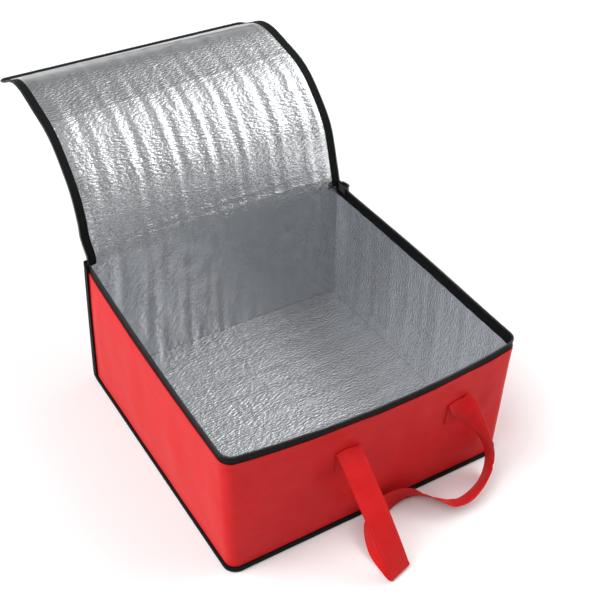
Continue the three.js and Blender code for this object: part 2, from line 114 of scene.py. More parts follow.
# %% [markdown]
# ## Colours and nodes
# Colours are written as they look on a screen, as hex values, and Blender works in linear light, so one
# function turns the one into the other. A second small function adds any shader node, sets its properties
# and fills its sockets with values or with links. The others add the few steps that all the materials are
# made of: noise, arithmetic, a change of range, two shades of a colour, bump, and the surface itself.

# %% Colour and node helpers
def linear(hex_colour, alpha=1.0):
    """Screen colour to linear light: each channel goes through the inverse of the sRGB curve."""
    screen = np.array([int(hex_colour[i:i + 2], 16) for i in (1, 3, 5)]) / 255
    light = np.where(screen <= 0.04045, screen / 12.92, ((screen + 0.055) / 1.055) ** 2.4)
    return (*light.tolist(), alpha)


def add_node(tree, kind, sockets=None, **settings):
    """Adds one node. Settings are its own properties; sockets maps an input to a value or to an output."""
    node = tree.nodes.new(kind)
    for name, value in settings.items():
        setattr(node, name, value)
    for name, value in (sockets or {}).items():
        if isinstance(value, bpy.types.NodeSocket):
            tree.links.new(value, node.inputs[name])
        else:
            node.inputs[name].default_value = value
    return node


def new_material(name):
    """A node material with an empty tree, and the tree."""
    material = bpy.data.materials.new(name)
    material.use_nodes = True
    material.node_tree.nodes.clear()
    return material, material.node_tree


# %% Steps of a material
def noise(tree, place, size, detail, roughness=0.5):
    """Soft random pattern from 0 to 1, whose features are about so large."""
    return add_node(tree, "ShaderNodeTexNoise", {
        "Vector": place, "Scale": 1 / size, "Detail": detail, "Roughness": roughness}).outputs["Fac"]


def maths(tree, operation, *values):
    """One step of arithmetic on numbers or outputs."""
    return add_node(tree, "ShaderNodeMath", dict(enumerate(values)), operation=operation).outputs["Value"]


def ranged(tree, value, start, end, low=0.0, high=1.0):
    """Goes from start to end in a straight line while the value goes from low to high, and no further."""
    return add_node(tree, "ShaderNodeMapRange", {
        "Value": value, "From Min": low, "From Max": high, "To Min": start, "To Max": end}).outputs["Result"]


def shades(tree, pattern, deep, pale, low=0.0, high=1.0):
    """Colour that goes from deep to pale while the pattern goes from low to high."""
    ramp = add_node(tree, "ShaderNodeValToRGB", {"Fac": pattern})
    first, last = ramp.color_ramp.elements
    first.position, last.position = low, high
    first.color, last.color = linear(deep), linear(pale)
    return ramp.outputs["Color"]


def bump(tree, pattern, strength, depth, under=None):
    """Normals as if the pattern were heights of that depth, on top of another bump if one is given."""
    sockets = {"Height": pattern, "Strength": strength, "Distance": depth}
    if under is not None:
        sockets["Normal"] = under
    return add_node(tree, "ShaderNodeBump", sockets).outputs["Normal"]


def finish_material(tree, sockets):
    """Ends a material's tree with one principled surface, its sockets filled, and the output."""
    shader = add_node(tree, "ShaderNodeBsdfPrincipled", sockets)
    add_node(tree, "ShaderNodeOutputMaterial", {"Surface": shader.outputs["BSDF"]})


# %% [markdown]
# ## Coated fabric
# The outside is spun-bonded polypropylene with a thin clear film. The film gives a soft gloss, the bonded
# fibres under it give a fine grid of pressed dots, and packing leaves shallow creases. The dots are about
# 1.6 mm apart on the real cloth; they are drawn at 2.6 mm, because finer ones vanish in the render. The map
# follows the cloth. The straps are the same cloth folded double, and their red is painted deeper: painted
# shade on their steep faces.

# %% Fabric material
DOT_PITCH, CREASE_SIZE, CLOUD_SIZE = 2.6 * MM, 55 * MM, 20 * MM


def film_coated(name, deep, pale):
    """Film-coated cloth: dyed from deep to pale in soft clouds, with creases and fine dots in the bump."""
    material, tree = new_material(name)
    cloth_map = add_node(tree, "ShaderNodeUVMap", uv_map="UVMap").outputs["UV"]
    dots = add_node(tree, "ShaderNodeTexVoronoi", {
        "Vector": cloth_map, "Scale": 1 / DOT_PITCH, "Randomness": 0.15})
    creases = noise(tree, cloth_map, CREASE_SIZE, detail=3.0)
    clouds = noise(tree, cloth_map, CLOUD_SIZE, detail=4.0)
    crease_bump = bump(tree, creases, strength=0.45, depth=4 * MM)
    dot_bump = bump(tree, dots.outputs["Distance"], strength=0.12, depth=0.6 * MM, under=crease_bump)
    finish_material(tree, {
        "Base Color": shades(tree, clouds, deep, pale, low=0.3, high=0.75),
        "Roughness": ranged(tree, clouds, start=0.42, end=0.56), "Normal": dot_bump, "IOR": 1.49,
        "Specular IOR Level": 0.1})
    return material


fabric = film_coated("film_coated_nonwoven_polypropylene", "#DA2629", "#E32E2F")
# The straps' deeper red is painted shade, for their steep faces.
strap_fabric_painted_shade = film_coated("folded_nonwoven_polypropylene", "#CC1E21", "#D42324")
print("made", fabric.name, strap_fabric_painted_shade.name)

# %% [markdown]
# ## Crinkled foil
# The lining is aluminised film on soft foam. The film is a mirror that handling has broken up into
# countless short facets, a few millimetres long across the bag and narrower down it. The facets are a bump;
# the longer waves and the creases are modelled. Near the free end of the lid the film is smoother but
# duller, so the bump is weaker there and the roughness rises. On the lid the map's first number is the
# distance from the hinge.

# %% Foil material
FACET_SIZE, STREAK_SIZE = (2.6 * MM, 7 * MM), (60 * MM, 20 * MM)
FADE_FROM, FADE_TO, DULL_FROM, DULL_TO = 240 * MM, 340 * MM, 250 * MM, 350 * MM
foil, tree = new_material("aluminised_film_on_foam")
foil_map = add_node(tree, "ShaderNodeUVMap", uv_map="UVMap").outputs["UV"]
facet_map, streak_map = (
    add_node(tree, "ShaderNodeMapping", {"Vector": foil_map, "Scale": (1 / along, 1 / across, 1.0)})
    for along, across in (FACET_SIZE, STREAK_SIZE))
facets = noise(tree, facet_map.outputs["Vector"], size=1.0, detail=2.0, roughness=0.55)
streaks = noise(tree, streak_map.outputs["Vector"], size=1.0, detail=2.0)
reach = add_node(tree, "ShaderNodeSeparateXYZ", {"Vector": foil_map}).outputs["X"]
fade = ranged(tree, reach, start=1.0, end=0.3, low=FADE_FROM, high=FADE_TO)
faded = maths(tree, "MULTIPLY", facets, fade)
streak_bump = bump(tree, streaks, strength=0.35, depth=3 * MM)
haze = ranged(tree, streaks, start=0.15, end=0.26)
dulled = ranged(tree, reach, start=0.0, end=0.22, low=DULL_FROM, high=DULL_TO)
finish_material(tree, {
    "Base Color": linear("#DADCDF"), "Metallic": 1.0, "Roughness": maths(tree, "ADD", haze, dulled),
    "Normal": bump(tree, faded, strength=1.0, depth=1.7 * MM, under=streak_bump)})
print("made", foil.name)

# %% [markdown]
# ## Tape, coil, enamel and thread
# The binding and the zip tapes are black woven polyester: matt, with a diagonal rib about 1.2 mm wide,
# drawn at 2 mm so that it shows. The zip's coil is a bent nylon wire, smoother than the tape; its grey is
# paler than the black tape, a painted highlight along the rim. The slider, its pull and the stops are zinc
# alloy under black enamel. The sewing thread is twisted polyester in the colour of the cloth. Blender's
# wave texture has 20 waves in a length of two pi, which its scale has to allow for.

# %% Tape material
RIB_WIDTH, RIB_SLANT, WEAR_SIZE, WAVE_COUNT = 2 * MM, np.radians(35), 12 * MM, 20
tape, tree = new_material("woven_polyester_tape")
tape_map = add_node(tree, "ShaderNodeUVMap", uv_map="UVMap").outputs["UV"]
turned = add_node(tree, "ShaderNodeMapping", {"Vector": tape_map, "Rotation": (0.0, 0.0, RIB_SLANT)})
ribs = add_node(tree, "ShaderNodeTexWave", {
    "Vector": turned.outputs["Vector"], "Scale": 2 * np.pi / RIB_WIDTH / WAVE_COUNT, "Distortion": 0.6,
    "Detail": 1.0})
worn = noise(tree, tape_map, WEAR_SIZE, detail=3.0)
finish_material(tree, {
    "Base Color": shades(tree, worn, "#090A0B", "#131415"), "Roughness": 0.75,
    "Normal": bump(tree, ribs.outputs["Fac"], strength=0.35, depth=0.4 * MM), "IOR": 1.5,
    "Specular IOR Level": 0.15})
print("made", tape.name)

# %% Coil and thread materials
def mottled(name, size, colours, roughness, ior):
    """A plain polymer whose colour varies between two shades, in spots of a given size."""
    material, tree = new_material(name)
    place = add_node(tree, "ShaderNodeTexCoord").outputs["Object"]
    dyed = shades(tree, noise(tree, place, size, detail=2.0), *colours)
    finish_material(tree, {"Base Color": dyed, "Roughness": roughness, "IOR": ior})
    return material


# The coil's greys are paler than the tape's black: painted highlight along the coil.
nylon = mottled(
    "bent_nylon_wire", size=4 * MM, colours=("#26272A", "#3B3C40"), roughness=0.36, ior=1.53)
thread = mottled(
    "twisted_polyester_thread", size=1 * MM, colours=("#B51F22", "#D93734"), roughness=0.55, ior=1.5)
print("made", nylon.name, thread.name)

# %% Enamel material
PEEL_SIZE = 1.5 * MM
enamel, tree = new_material("black_enamel_on_zinc")
place = add_node(tree, "ShaderNodeTexCoord").outputs["Object"]
orange_peel = noise(tree, place, PEEL_SIZE, detail=2.0)
finish_material(tree, {
    "Base Color": linear("#17171A"), "Roughness": ranged(tree, orange_peel, start=0.22, end=0.42),
    "Normal": bump(tree, orange_peel, strength=0.15, depth=0.2 * MM), "IOR": 1.5, "Coat Weight": 0.4,
    "Coat Roughness": 0.15})
print("made", enamel.name)

# %% [markdown]
# ## Skins from sections
# Almost everything here is a thin layer: a section carried along a path. Each section goes across the layer
# on one face and comes back on the other, so the skin is closed, has real thickness, and its ends close
# with a strip of quads. The map of each face is in metres along and across the cloth, which keeps every
# pattern at its real size.

# %% Skin and piece helpers
SHARP_ANGLE = np.radians(42)


def skin(points, along, across, loop=False):
    """Closed skin over sections. points[r, c] is corner c of section r; neighbours in r and c make a quad.

    along and across are distances for the map, with one entry more than there are spans. The ends are
    closed by quads that join the corners of the way there to those of the way back. Faces are turned to
    point outwards."""
    rows, columns = points.shape[:2]
    spans = rows if loop else rows - 1
    r, c = (grid.ravel() for grid in np.meshgrid(np.arange(spans), np.arange(columns), indexing="ij"))
    here, there = r * columns, (r + 1) % rows * columns
    c_next = (c + 1) % columns
    faces = np.stack([here + c, there + c, there + c_next, here + c_next], 1)
    u, v = along[np.stack([r, r + 1, r + 1, r], 1)], across[np.stack([c, c, c + 1, c + 1], 1)]
    if not loop:
        k = np.arange(columns // 2 - 1)
        cap = np.stack([k, k + 1, columns - 2 - k, columns - 1 - k], 1)
        faces = np.concatenate([faces, cap, cap[:, ::-1] + (rows - 1) * columns])
        u = np.concatenate([u, np.full(cap.shape, along[0]), np.full(cap.shape, along[-1])])
        v = np.concatenate([v, across[cap], across[cap[:, ::-1]]])
    vertices = points.reshape(-1, 3)
    a, b, c, d = (vertices[faces[:, i]] for i in range(4))
    volume = (a * (np.cross(b, c) + np.cross(c, d))).sum()
    order = slice(None) if volume > 0 else slice(None, None, -1)
    return vertices, faces[:, order], np.stack([u, v], -1)[:, order]


def add_piece(name, skins, material):
    """One mesh object from several skins, smooth but for edges that turn more than SHARP_ANGLE."""
    starts = np.cumsum([0] + [len(vertices) for vertices, _, _ in skins])
    vertices = np.concatenate([vertices for vertices, _, _ in skins])
    faces = np.concatenate([faces + start for (_, faces, _), start in zip(skins, starts)])
    uv = np.concatenate([uv for _, _, uv in skins])
    mesh = bpy.data.meshes.new(name)
    mesh.from_pydata(vertices.tolist(), [], faces.tolist())
    mesh.uv_layers.new(name="UVMap").data.foreach_set("uv", uv.ravel())
    mesh.shade_smooth()
    mesh.set_sharp_from_angle(angle=SHARP_ANGLE)
    mesh.materials.append(material)
    piece = bpy.data.objects.new(name, mesh)
    bpy.context.scene.collection.objects.link(piece)
    low, high = np.round(vertices.min(0), 3).tolist(), np.round(vertices.max(0), 3).tolist()
    print(name, len(faces), "faces", low, high)
    return piece


def ride_on(piece, body, *nodes):
    """The piece moves with the body and stands for the CAD nodes."""
    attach(piece, body)
    if nodes:
        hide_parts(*nodes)


def smooth(t):
    """Rises from 0 to 1 with level ends: three t squared less two t cubed, held to that range."""
    t = np.clip(t, 0, 1)
    return t * t * (3 - 2 * t)


def girth(section):
    """Distance round a closed section, from its first corner back to it."""
    steps = np.linalg.norm(np.diff(section, axis=0, append=section[:1]), axis=1)
    return np.concatenate([[0], np.cumsum(steps)])


def run_length(points):
    """Distance along a row of points."""
    return np.concatenate([[0], np.cumsum(np.linalg.norm(np.diff(points, axis=0), axis=1))])


def both_faces(across):
    """Map across a layer: over one face, back over the other, and the first entry again to close it."""
    return np.concatenate([across, across[::-1], across[:1]])


def at_distances(distances, run, rows):
    """Rows at the given distances, by straight lines between those known along the run."""
    return np.stack([np.interp(distances, run, column) for column in rows.T], 1)


def unit(rows):
    """Each row scaled to length 1."""
    return rows / np.linalg.norm(rows, axis=-1, keepdims=True)


def square_to(ahead, rows):
    """The part of each row that is square to the way ahead, scaled to length 1."""
    return unit(rows - ahead * (rows * ahead).sum(1, keepdims=True))


# %% [markdown]
# ## Stitches
# Every seam of the real bag is sewn with a row of short stitches. Each is a small pill of thread. One pill
# is made, and copies of it are laid along a row of points, turned to follow the row and to lie on the
# cloth.

# %% Rows of stitches
STITCH_PITCH, STITCH_LENGTH, THREAD_RADIUS = 4.6 * MM, 3.4 * MM, 0.42 * MM
PILL_RINGS, PILL_SIDES, PILL_TAPER = 5, 6, 0.9


def stitch_row(points, outward):
    """Pills of thread along a row of points, a pitch apart, on cloth that faces outward.

    The pill's thickness is its radius times the root of one less PILL_TAPER times the square of the way
    from its middle."""
    way, turn = np.linspace(-1, 1, PILL_RINGS), 2 * np.pi * np.arange(PILL_SIDES) / PILL_SIDES
    length, thick = way * STITCH_LENGTH / 2, (THREAD_RADIUS * np.sqrt(1 - PILL_TAPER * way ** 2))[:, None]
    pill = np.broadcast_arrays(length[:, None], thick * np.cos(turn), thick * np.sin(turn))
    around = np.linspace(0, 2 * np.pi * THREAD_RADIUS, PILL_SIDES + 1)
    vertices, faces, uv = skin(np.stack(pill, -1), length, around)
    run = run_length(points)
    at = np.arange(STITCH_PITCH / 2, run[-1], STITCH_PITCH)
    place, before, after, up = (
        at_distances(at + shift, run, row)
        for shift, row in ((0, points), (-MM, points), (MM, points), (0, outward)))
    ahead = unit(after - before)
    up = square_to(ahead, up)
    spread = np.stack([ahead, np.cross(up, ahead), up], 1)
    copies = place[:, None] + np.einsum("vk,nkc->nvc", vertices, spread)
    numbers = faces[None] + len(vertices) * np.arange(len(at))[:, None, None]
    return copies.reshape(-1, 3), numbers.reshape(-1, 4), np.tile(uv, (len(at), 1, 1))


print("stitches", round(STITCH_PITCH / MM, 1), "mm apart")

# %% [markdown]
# ## How the bag slumps
# The frame is a perfect box, and the real bag is not: its front rim bows out and sags, the corners lean,
# and the walls belly a little. One smooth warp of space does this for every sewn piece, so the layers stay
# together. Each corner is named by its side, -1 for left, and its end, -1 for front, and leans so many mm
# along x and y.

# %% Slump
CORNER_LEAN = {(-1, -1): (-6, -2), (1, -1): (0, -6), (-1, 1): (6, 0), (1, 1): (0, 0)}
FRONT_BOW, FRONT_SAG, RIGHT_BOW, LEFT_BOW, BELLY = 14 * MM, 3 * MM, 2 * MM, 3 * MM, 3 * MM
LEAN_POWER, FRONT_POWER, SIDE_POWER = 1.2, 2.2, 1.5
CORNER_SHARE, FOLD_SHARE = 0.2, 0.1
PUCKER, PUCKER_SPAN = 1.6 * MM, 42 * MM
DENTS = ((170, 0.8), (120, 0.6), (80, 0.4), (55, 0.3), (200, 0.8), (95, 0.5))
DENT_SQUASH, DENT_PHASES = (1, 1, 0.6), (0, 6.3)
SEED = 7
random = np.random.default_rng(SEED)
WAVES = [(height * MM, random.normal(0, 2 * np.pi / (length * MM), 3) * DENT_SQUASH,
          random.uniform(*DENT_PHASES)) for length, height in DENTS]


def dents(points):
    """Shallow unevenness of a wall: a sum of sine waves in space, the long ones stronger than the short."""
    return sum(height * np.sin(points @ wave + phase) for height, wave, phase in WAVES)


def slump(points, normals):
    """Where a point of the perfect box goes on the real bag.

    With X and Y from -1 to 1 across the bag and h from 0 to 1 up it: the four corners lean by their own
    amounts times h to the power 1.2, mixed between them; the front, right and left walls bow out by a
    parabola along the wall, cubed on the right, times h to the power 2.2, or 1.5 at the sides; the walls
    belly by the sine of pi h along their normals, less towards the corners, and so do the dents. Round
    each strap's fold the cloth is pulled in by a cosine of the distance that dies away."""
    x = np.clip(points[..., 0] / half_width, -1, 1)
    y = np.clip(points[..., 1] / half_depth, -1, 1)
    h = np.clip(points[..., 2] / rim_height, 0, 1)
    moved = points.copy()
    for (side, end), lean in CORNER_LEAN.items():
        share = (1 + side * x) / 2 * (1 + end * y) / 2 * h ** LEAN_POWER * MM
        moved[..., 0] += share * lean[0]
        moved[..., 1] += share * lean[1]
    front = (1 - x ** 2) * ((1 - y) / 2) ** 2 * h ** FRONT_POWER
    moved[..., 1] -= FRONT_BOW * front
    moved[..., 2] -= FRONT_SAG * front
    moved[..., 0] += RIGHT_BOW * (1 - y ** 2) ** 3 * ((1 + x) / 2) ** 2 * h ** SIDE_POWER
    moved[..., 0] -= LEFT_BOW * (1 - y ** 2) * ((1 - x) / 2) ** 2 * h ** SIDE_POWER
    near_side, near_end = (smooth((np.abs(part) - 1) / CORNER_SHARE + 1) for part in (x, y))
    swell = np.sin(np.pi * h) * (1 - near_side * near_end) * (BELLY + dents(points))
    for middle in patch_middles:
        off = np.hypot(points[..., 0] - middle, points[..., 2] - fold_height)
        pulled = np.cos(2 * np.pi * off / PUCKER_SPAN) * np.exp(-off / PUCKER_SPAN)
        swell = swell - PUCKER * pulled * smooth((np.abs(y) - 1) / FOLD_SHARE + 1)
    return moved + normals * swell[..., None]


corners = np.array([[side * half_width, end * half_depth, rim_height] for side, end in CORNER_LEAN])
print("rim corners move by mm", np.round((slump(corners, corners * 0) - corners) / MM, 1).tolist())

# %% [markdown]
# ## How the film lies
# The foil face is film glued to foam in lines, so it stands off in soft waves between them, and handling
# has crumpled it into short sharp ridges. Both are small heights, and every foil face of the bag takes its
# own from here. A wave is given by its length and height, by how far its lines wander along v and over what
# length, and by the same two numbers for u.

# %% Relief of the film
WAVE_HEIGHT, RIDGE_WIDTH, RIDGE_COUNT = 0.42 * MM, 1.7 * MM, 110
FILM_WAVES = ((31 * MM, 1.0, 0.9, 50 * MM, 2.0, 70 * MM), (18.7 * MM, 0.6, 0.8, 30 * MM, 1.5, 45 * MM))
RIDGES_U, RIDGES_V, SLANT_SPREAD = (-0.45, 0.85), (-0.22, 0.4), 0.5
RIDGE_LENGTHS, RIDGE_HEIGHTS = (8, 26), (0.25, 0.8)
RIDGES = [(random.uniform(*RIDGES_U), random.uniform(*RIDGES_V),
           random.normal(0, SLANT_SPREAD) + np.pi / 2 * (i % 2),
           random.uniform(*RIDGE_LENGTHS) * MM, random.uniform(*RIDGE_HEIGHTS) * MM)
          for i in range(RIDGE_COUNT)]


def film_waves(u, v):
    """Waves across u whose lines wander along v: two sines of u, each with a phase that swings slowly.

    Their heights are added to the whole, so that the film only ever stands off."""
    rest = sum(wave[1] for wave in FILM_WAVES)
    return rest + sum(
        height * np.sin(2 * np.pi * u / length + over * np.sin(v / v_length) + along * np.sin(u / u_length))
        for length, height, over, v_length, along, u_length in FILM_WAVES)


def loose_creases(u, v):
    """Short sharp ridges of the crumpled film, at random places and slants.

    Each is a bell across its line times a wider bell along it; the ridges are added up."""
    total = np.zeros(np.broadcast(u, v).shape)
    for at_u, at_v, slant, length, height in RIDGES:
        along = (u - at_u) * np.cos(slant) + (v - at_v) * np.sin(slant)
        off = (v - at_v) * np.cos(slant) - (u - at_u) * np.sin(slant)
        total += height * np.exp(-(off / RIDGE_WIDTH) ** 2 - (along / length) ** 2)
    return total


print(len(RIDGES), "ridges, the highest", round(max(ridge[-1] for ridge in RIDGES) / MM, 2), "mm")

# %% [markdown]
# ## Side walls
# One length of fabric makes the left, front and right walls, with foil-faced foam sewn in behind it. Both
# are a thin upright section carried along the same path in plan: straight, quarter round, straight, quarter
# round, straight. The lining's map runs up to 0 at its end, because the film is smooth only where the map is
# well above 0, on the lid.

# %% Path of the walls
WALL_STEP, FOIL_STEP, CORNER_STEPS = 7 * MM, 2.5 * MM, 10


def wall_path(back_end, step=WALL_STEP):
    """Plan of the walls from the left back end to the right one: points, outward normals and distance run.

    The normal's angle starts at pi and grows by the distance run inside each quarter round over its
    radius; the point is the normal times the radius from a centre that only moves along the straights."""
    side, front = back_end + half_depth - CORNER_RADIUS, 2 * (half_width - CORNER_RADIUS)
    quarter = np.pi / 2 * CORNER_RADIUS
    marks = np.cumsum([0, side, quarter, front, quarter, side])
    side_steps = max(int(side / step), 2)
    counts = [side_steps, CORNER_STEPS, int(front / step), CORNER_STEPS, side_steps]
    spans = [np.linspace(marks[i], marks[i + 1], count, endpoint=False) for i, count in enumerate(counts)]
    run = np.append(np.concatenate(spans), marks[-1])
    turned = np.clip(run - marks[1], 0, quarter) + np.clip(run - marks[3], 0, quarter)
    angle = np.pi + turned / CORNER_RADIUS
    normals = np.stack([np.cos(angle), np.sin(angle)], 1)
    centres = np.stack([
        np.clip(run - marks[2], 0, front) - half_width + CORNER_RADIUS,
        back_end - np.clip(run, 0, side) + np.clip(run - marks[4], 0, None)], 1)
    return centres + CORNER_RADIUS * normals, normals, run - marks[1]


def sweep(path, section):
    """Carries a section of (distance inwards, height) corners along a path; gives points and normals."""
    points, normals = path[0][:, None, :], path[1][:, None, :]
    plan = points - normals * section[None, :, :1]
    heights = np.broadcast_to(section[None, :, 1:], plan.shape[:2] + (1,))
    facing = np.concatenate([np.broadcast_to(normals, plan.shape), 0 * heights], -1)
    return np.concatenate([plan, heights], -1), facing


def upright(outer, inner, low, high, count):
    """Section of a standing layer: up its outer face and down its inner face."""
    up = np.linspace(low, high, count)
    return np.concatenate([np.stack([0 * up + outer, up], 1), np.stack([0 * up + inner, up[::-1]], 1)])


# %% Wall fabric
FABRIC_ROWS, HEM_SEAM = 34, 4 * MM
fabric_section = upright(0, fabric_thickness, fabric_bottom, hem_height, FABRIC_ROWS)
fabric_path = wall_path(half_depth - foam_inset)
points, facing = sweep(fabric_path, fabric_section)
wall_fabric = add_piece("side_wall_fabric", [
    skin(slump(points, facing), fabric_path[2], girth(fabric_section))], fabric)
ride_on(wall_fabric, "bag_body", "side_wrap_outer")

points, facing = sweep(fabric_path, np.array([[0.0, hem_height - HEM_SEAM]]))
hem_thread = add_piece("hem_thread", [
    stitch_row(slump(points, facing)[:, 0], facing[:, 0])], thread)
ride_on(hem_thread, "bag_body")

# %% Wall lining
FOAM_ROWS, WALL_WAVES = 70, 0.45
foam_section = upright(foam_inset, foam_inset + foam_thickness, lining_bottom, lining_top, FOAM_ROWS)
foam_path = wall_path(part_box("side_wrap_lining")[1].y, FOIL_STEP)
points, facing = sweep(foam_path, foam_section)
inner_face = np.arange(len(foam_section)) >= FOAM_ROWS
run, height = foam_path[2][:, None], points[..., 2]
relief = WALL_WAVES * WAVE_HEIGHT * film_waves(run, height) + loose_creases(run, height)
points -= facing * (relief * inner_face)[..., None]
wall_lining = add_piece("side_wall_foil", [
    skin(slump(points, facing), foam_path[2] - foam_path[2][-1], girth(foam_section))], foil)
ride_on(wall_lining, "bag_body", "side_wrap_lining")

# %% [markdown]
# ## Base
# The base is a flat sheet of the same fabric with the same foam and foil on it. Black binding is folded
# over the seam all round: a section with a round back, carried along a closed path.

# %% Base sheets
FABRIC_STEPS, FOIL_STEPS, ROUND_STEPS = 30, 150, 9
BASE_CALM, BASE_WAVES, WAVES_SHIFT, CREASES_SHIFT = 30 * MM, 0.3, 150 * MM, 300 * MM


def base_sheet(inset, low, high, ridges, count):
    """A level layer with rounded front corners: at each depth its half width is that of the rounded outline.

    Within a corner radius of the front the half width is the straight one less the radius, plus the
    chord of the quarter round. The upper face rises by the ridges."""
    front, back = -half_depth + inset, half_depth - inset
    radius = CORNER_RADIUS - inset
    rounded = np.linspace(front, front + radius, ROUND_STEPS)[:-1]
    depth = np.concatenate([rounded, np.linspace(front + radius, back, count)])
    short = np.clip(1 - (depth - front) / radius, 0, 1)
    half = half_width - inset - radius * (1 - np.sqrt(1 - short ** 2))
    across = np.linspace(-1, 1, count)
    x, y = half[:, None] * across, np.broadcast_to(depth[:, None], (len(depth), count))
    under = np.stack([x, y, 0 * x + low], -1)
    over = np.stack([x, y, 0 * x + high + ridges(x, y)], -1)[:, ::-1]
    return skin(np.concatenate([under, over], 1), depth, both_faces(across * half_width))


def base_relief(x, y):
    """Waves and ridges of the film on the base, held down near the walls and unlike those on the walls."""
    calm = smooth((half_width - np.abs(x)) / BASE_CALM) * smooth((half_depth - np.abs(y)) / BASE_CALM)
    waves = BASE_WAVES * WAVE_HEIGHT * film_waves(y + WAVES_SHIFT, x)
    return calm * (waves + loose_creases(x + CREASES_SHIFT, y))


base_low, base_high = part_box("base_outer"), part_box("base_lining")
base_fabric = add_piece("base_fabric", [
    base_sheet(0.0, base_low[0].z, base_low[1].z, lambda x, y: 0 * x, FABRIC_STEPS)], fabric)
ride_on(base_fabric, "bag_body", "base_outer")
base_foil = add_piece("base_foil", [
    base_sheet(foam_inset, base_high[0].z, base_high[1].z, base_relief, FOIL_STEPS)], foil)
ride_on(base_foil, "bag_body", "base_lining")

# %% Base binding
BINDING_CLEARANCE, BINDING_CORNERS, BACK_STEPS = 0.3 * MM, 9, 40
binding_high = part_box("base_binding")[1]
binding_height = binding_high.z
binding_thickness = binding_high.x - half_width


def closed_base_path():
    """The plan of the walls carried on round the square back corners, as one closed path."""
    points, normals, _ = wall_path(half_depth)
    back_x = np.linspace(half_width, -half_width, BACK_STEPS)
    slant = np.sqrt(0.5)
    back = np.stack([back_x, 0 * back_x + half_depth], 1)
    back_normals = np.stack([0 * back_x, 0 * back_x + 1], 1)
    corner_normals = np.array([[slant, slant], [-slant, slant]])
    points = np.concatenate([points[1:-1], [points[-1]], back[1:-1], [points[0]]])
    normals = np.concatenate([normals[1:-1], corner_normals[:1], back_normals[1:-1], corner_normals[1:]])
    return points, normals, run_length(np.concatenate([points, points[:1]]))


angle = np.linspace(-np.pi / 2, np.pi / 2, BINDING_CORNERS)
round_back = np.stack([
    -BINDING_CLEARANCE - (binding_thickness - BINDING_CLEARANCE) * np.cos(angle) ** 0.5,
    binding_height / 2 * (1 + np.sin(angle))], 1)
flat_front = np.stack([
    np.full(BINDING_CORNERS, -BINDING_CLEARANCE / 2), np.linspace(binding_height, 0, BINDING_CORNERS)], 1)
binding_section = np.concatenate([round_back, flat_front])
binding_path = closed_base_path()
points, facing = sweep(binding_path, binding_section)
base_binding = add_piece("base_binding_tape", [
    skin(slump(points, facing * 0), binding_path[2], girth(binding_section), loop=True)], tape)
ride_on(base_binding, "bag_body", "base_binding")

# %% [markdown]
# ## Back corner bindings
# The two back corners are sewn edges, each covered by tape folded round it. In plan the tape is a straight,
# a small round and a straight; that line is carried up the corner and leans with it.

# %% Corner bindings
LEG, BEND_RADIUS, INNER_RADIUS, PADDING = 9.5 * MM, 2.5 * MM, 1 * MM, 1.2 * MM
BEND_STEPS, BINDING_ROWS = 7, 40


def corner_line(off, radius):
    """Plan of one face of the tape, so far off the corner: a straight, a quarter round and a straight."""
    turn = np.linspace(0, np.pi / 2, BEND_STEPS)
    bend = np.stack([half_width + off - radius * (1 - np.cos(turn)),
                     half_depth + off - radius * (1 - np.sin(turn))], 1)
    return np.concatenate([
        [[half_width + off, half_depth - LEG]], bend, [[half_width - LEG, half_depth + off]]])


def corner_binding(node, side):
    """Tape round one back corner: its plan goes there on the outer face and comes back on the inner one."""
    low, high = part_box(node)
    outer = max(abs(low.x), abs(high.x)) - half_width + PADDING
    there, back = corner_line(outer, BEND_RADIUS), corner_line(BINDING_CLEARANCE, INNER_RADIUS)[::-1]
    plan = np.concatenate([there, back]) * [side, 1]
    z = np.linspace(low.z, high.z, BINDING_ROWS)
    points = np.concatenate([np.broadcast_to(plan, (BINDING_ROWS, *plan.shape)),
                             np.broadcast_to(z[:, None, None], (BINDING_ROWS, len(plan), 1))], -1)
    along_side = np.abs(plan[:, 0]) > half_width - BEND_RADIUS
    facing = np.where(along_side[:, None], [side, 0, 0], [0, 1, 0]) + np.zeros(points.shape)
    return skin(slump(points, facing), z, girth(plan))


for node, side in (("back_left_binding", -1), ("back_right_binding", 1)):
    piece = add_piece(node + "_tape", [corner_binding(node, side)], tape)
    ride_on(piece, "bag_body", node)

# %% [markdown]
# ## Rim half of the zip
# A woven tape is sewn behind the hem, and a coil of nylon wire is sewn along its top edge; together they
# stand 13 mm above the hem. The coil is a helix: a point goes round the coil's axis once for each turn
# while the axis follows the rim. The tape is drawn a little higher than its solid, so that it reaches up
# behind the coil.

# %% Rim tape and coil
COIL_RADIUS, WIRE_RADIUS, COIL_PITCH = 1.15 * MM, 0.5 * MM, 2.3 * MM
TURN_STEPS, WIRE_SIDES = 8, 4
TAPE_THICKNESS, TAPE_RISE, TAPE_ROWS = 1.1 * MM, 1.6 * MM, 8


def along_path(path, distances):
    """Points and normals of a path in plan at the given distances."""
    points, normals = (at_distances(distances, path[2], rows) for rows in path[:2])
    return points, unit(normals)


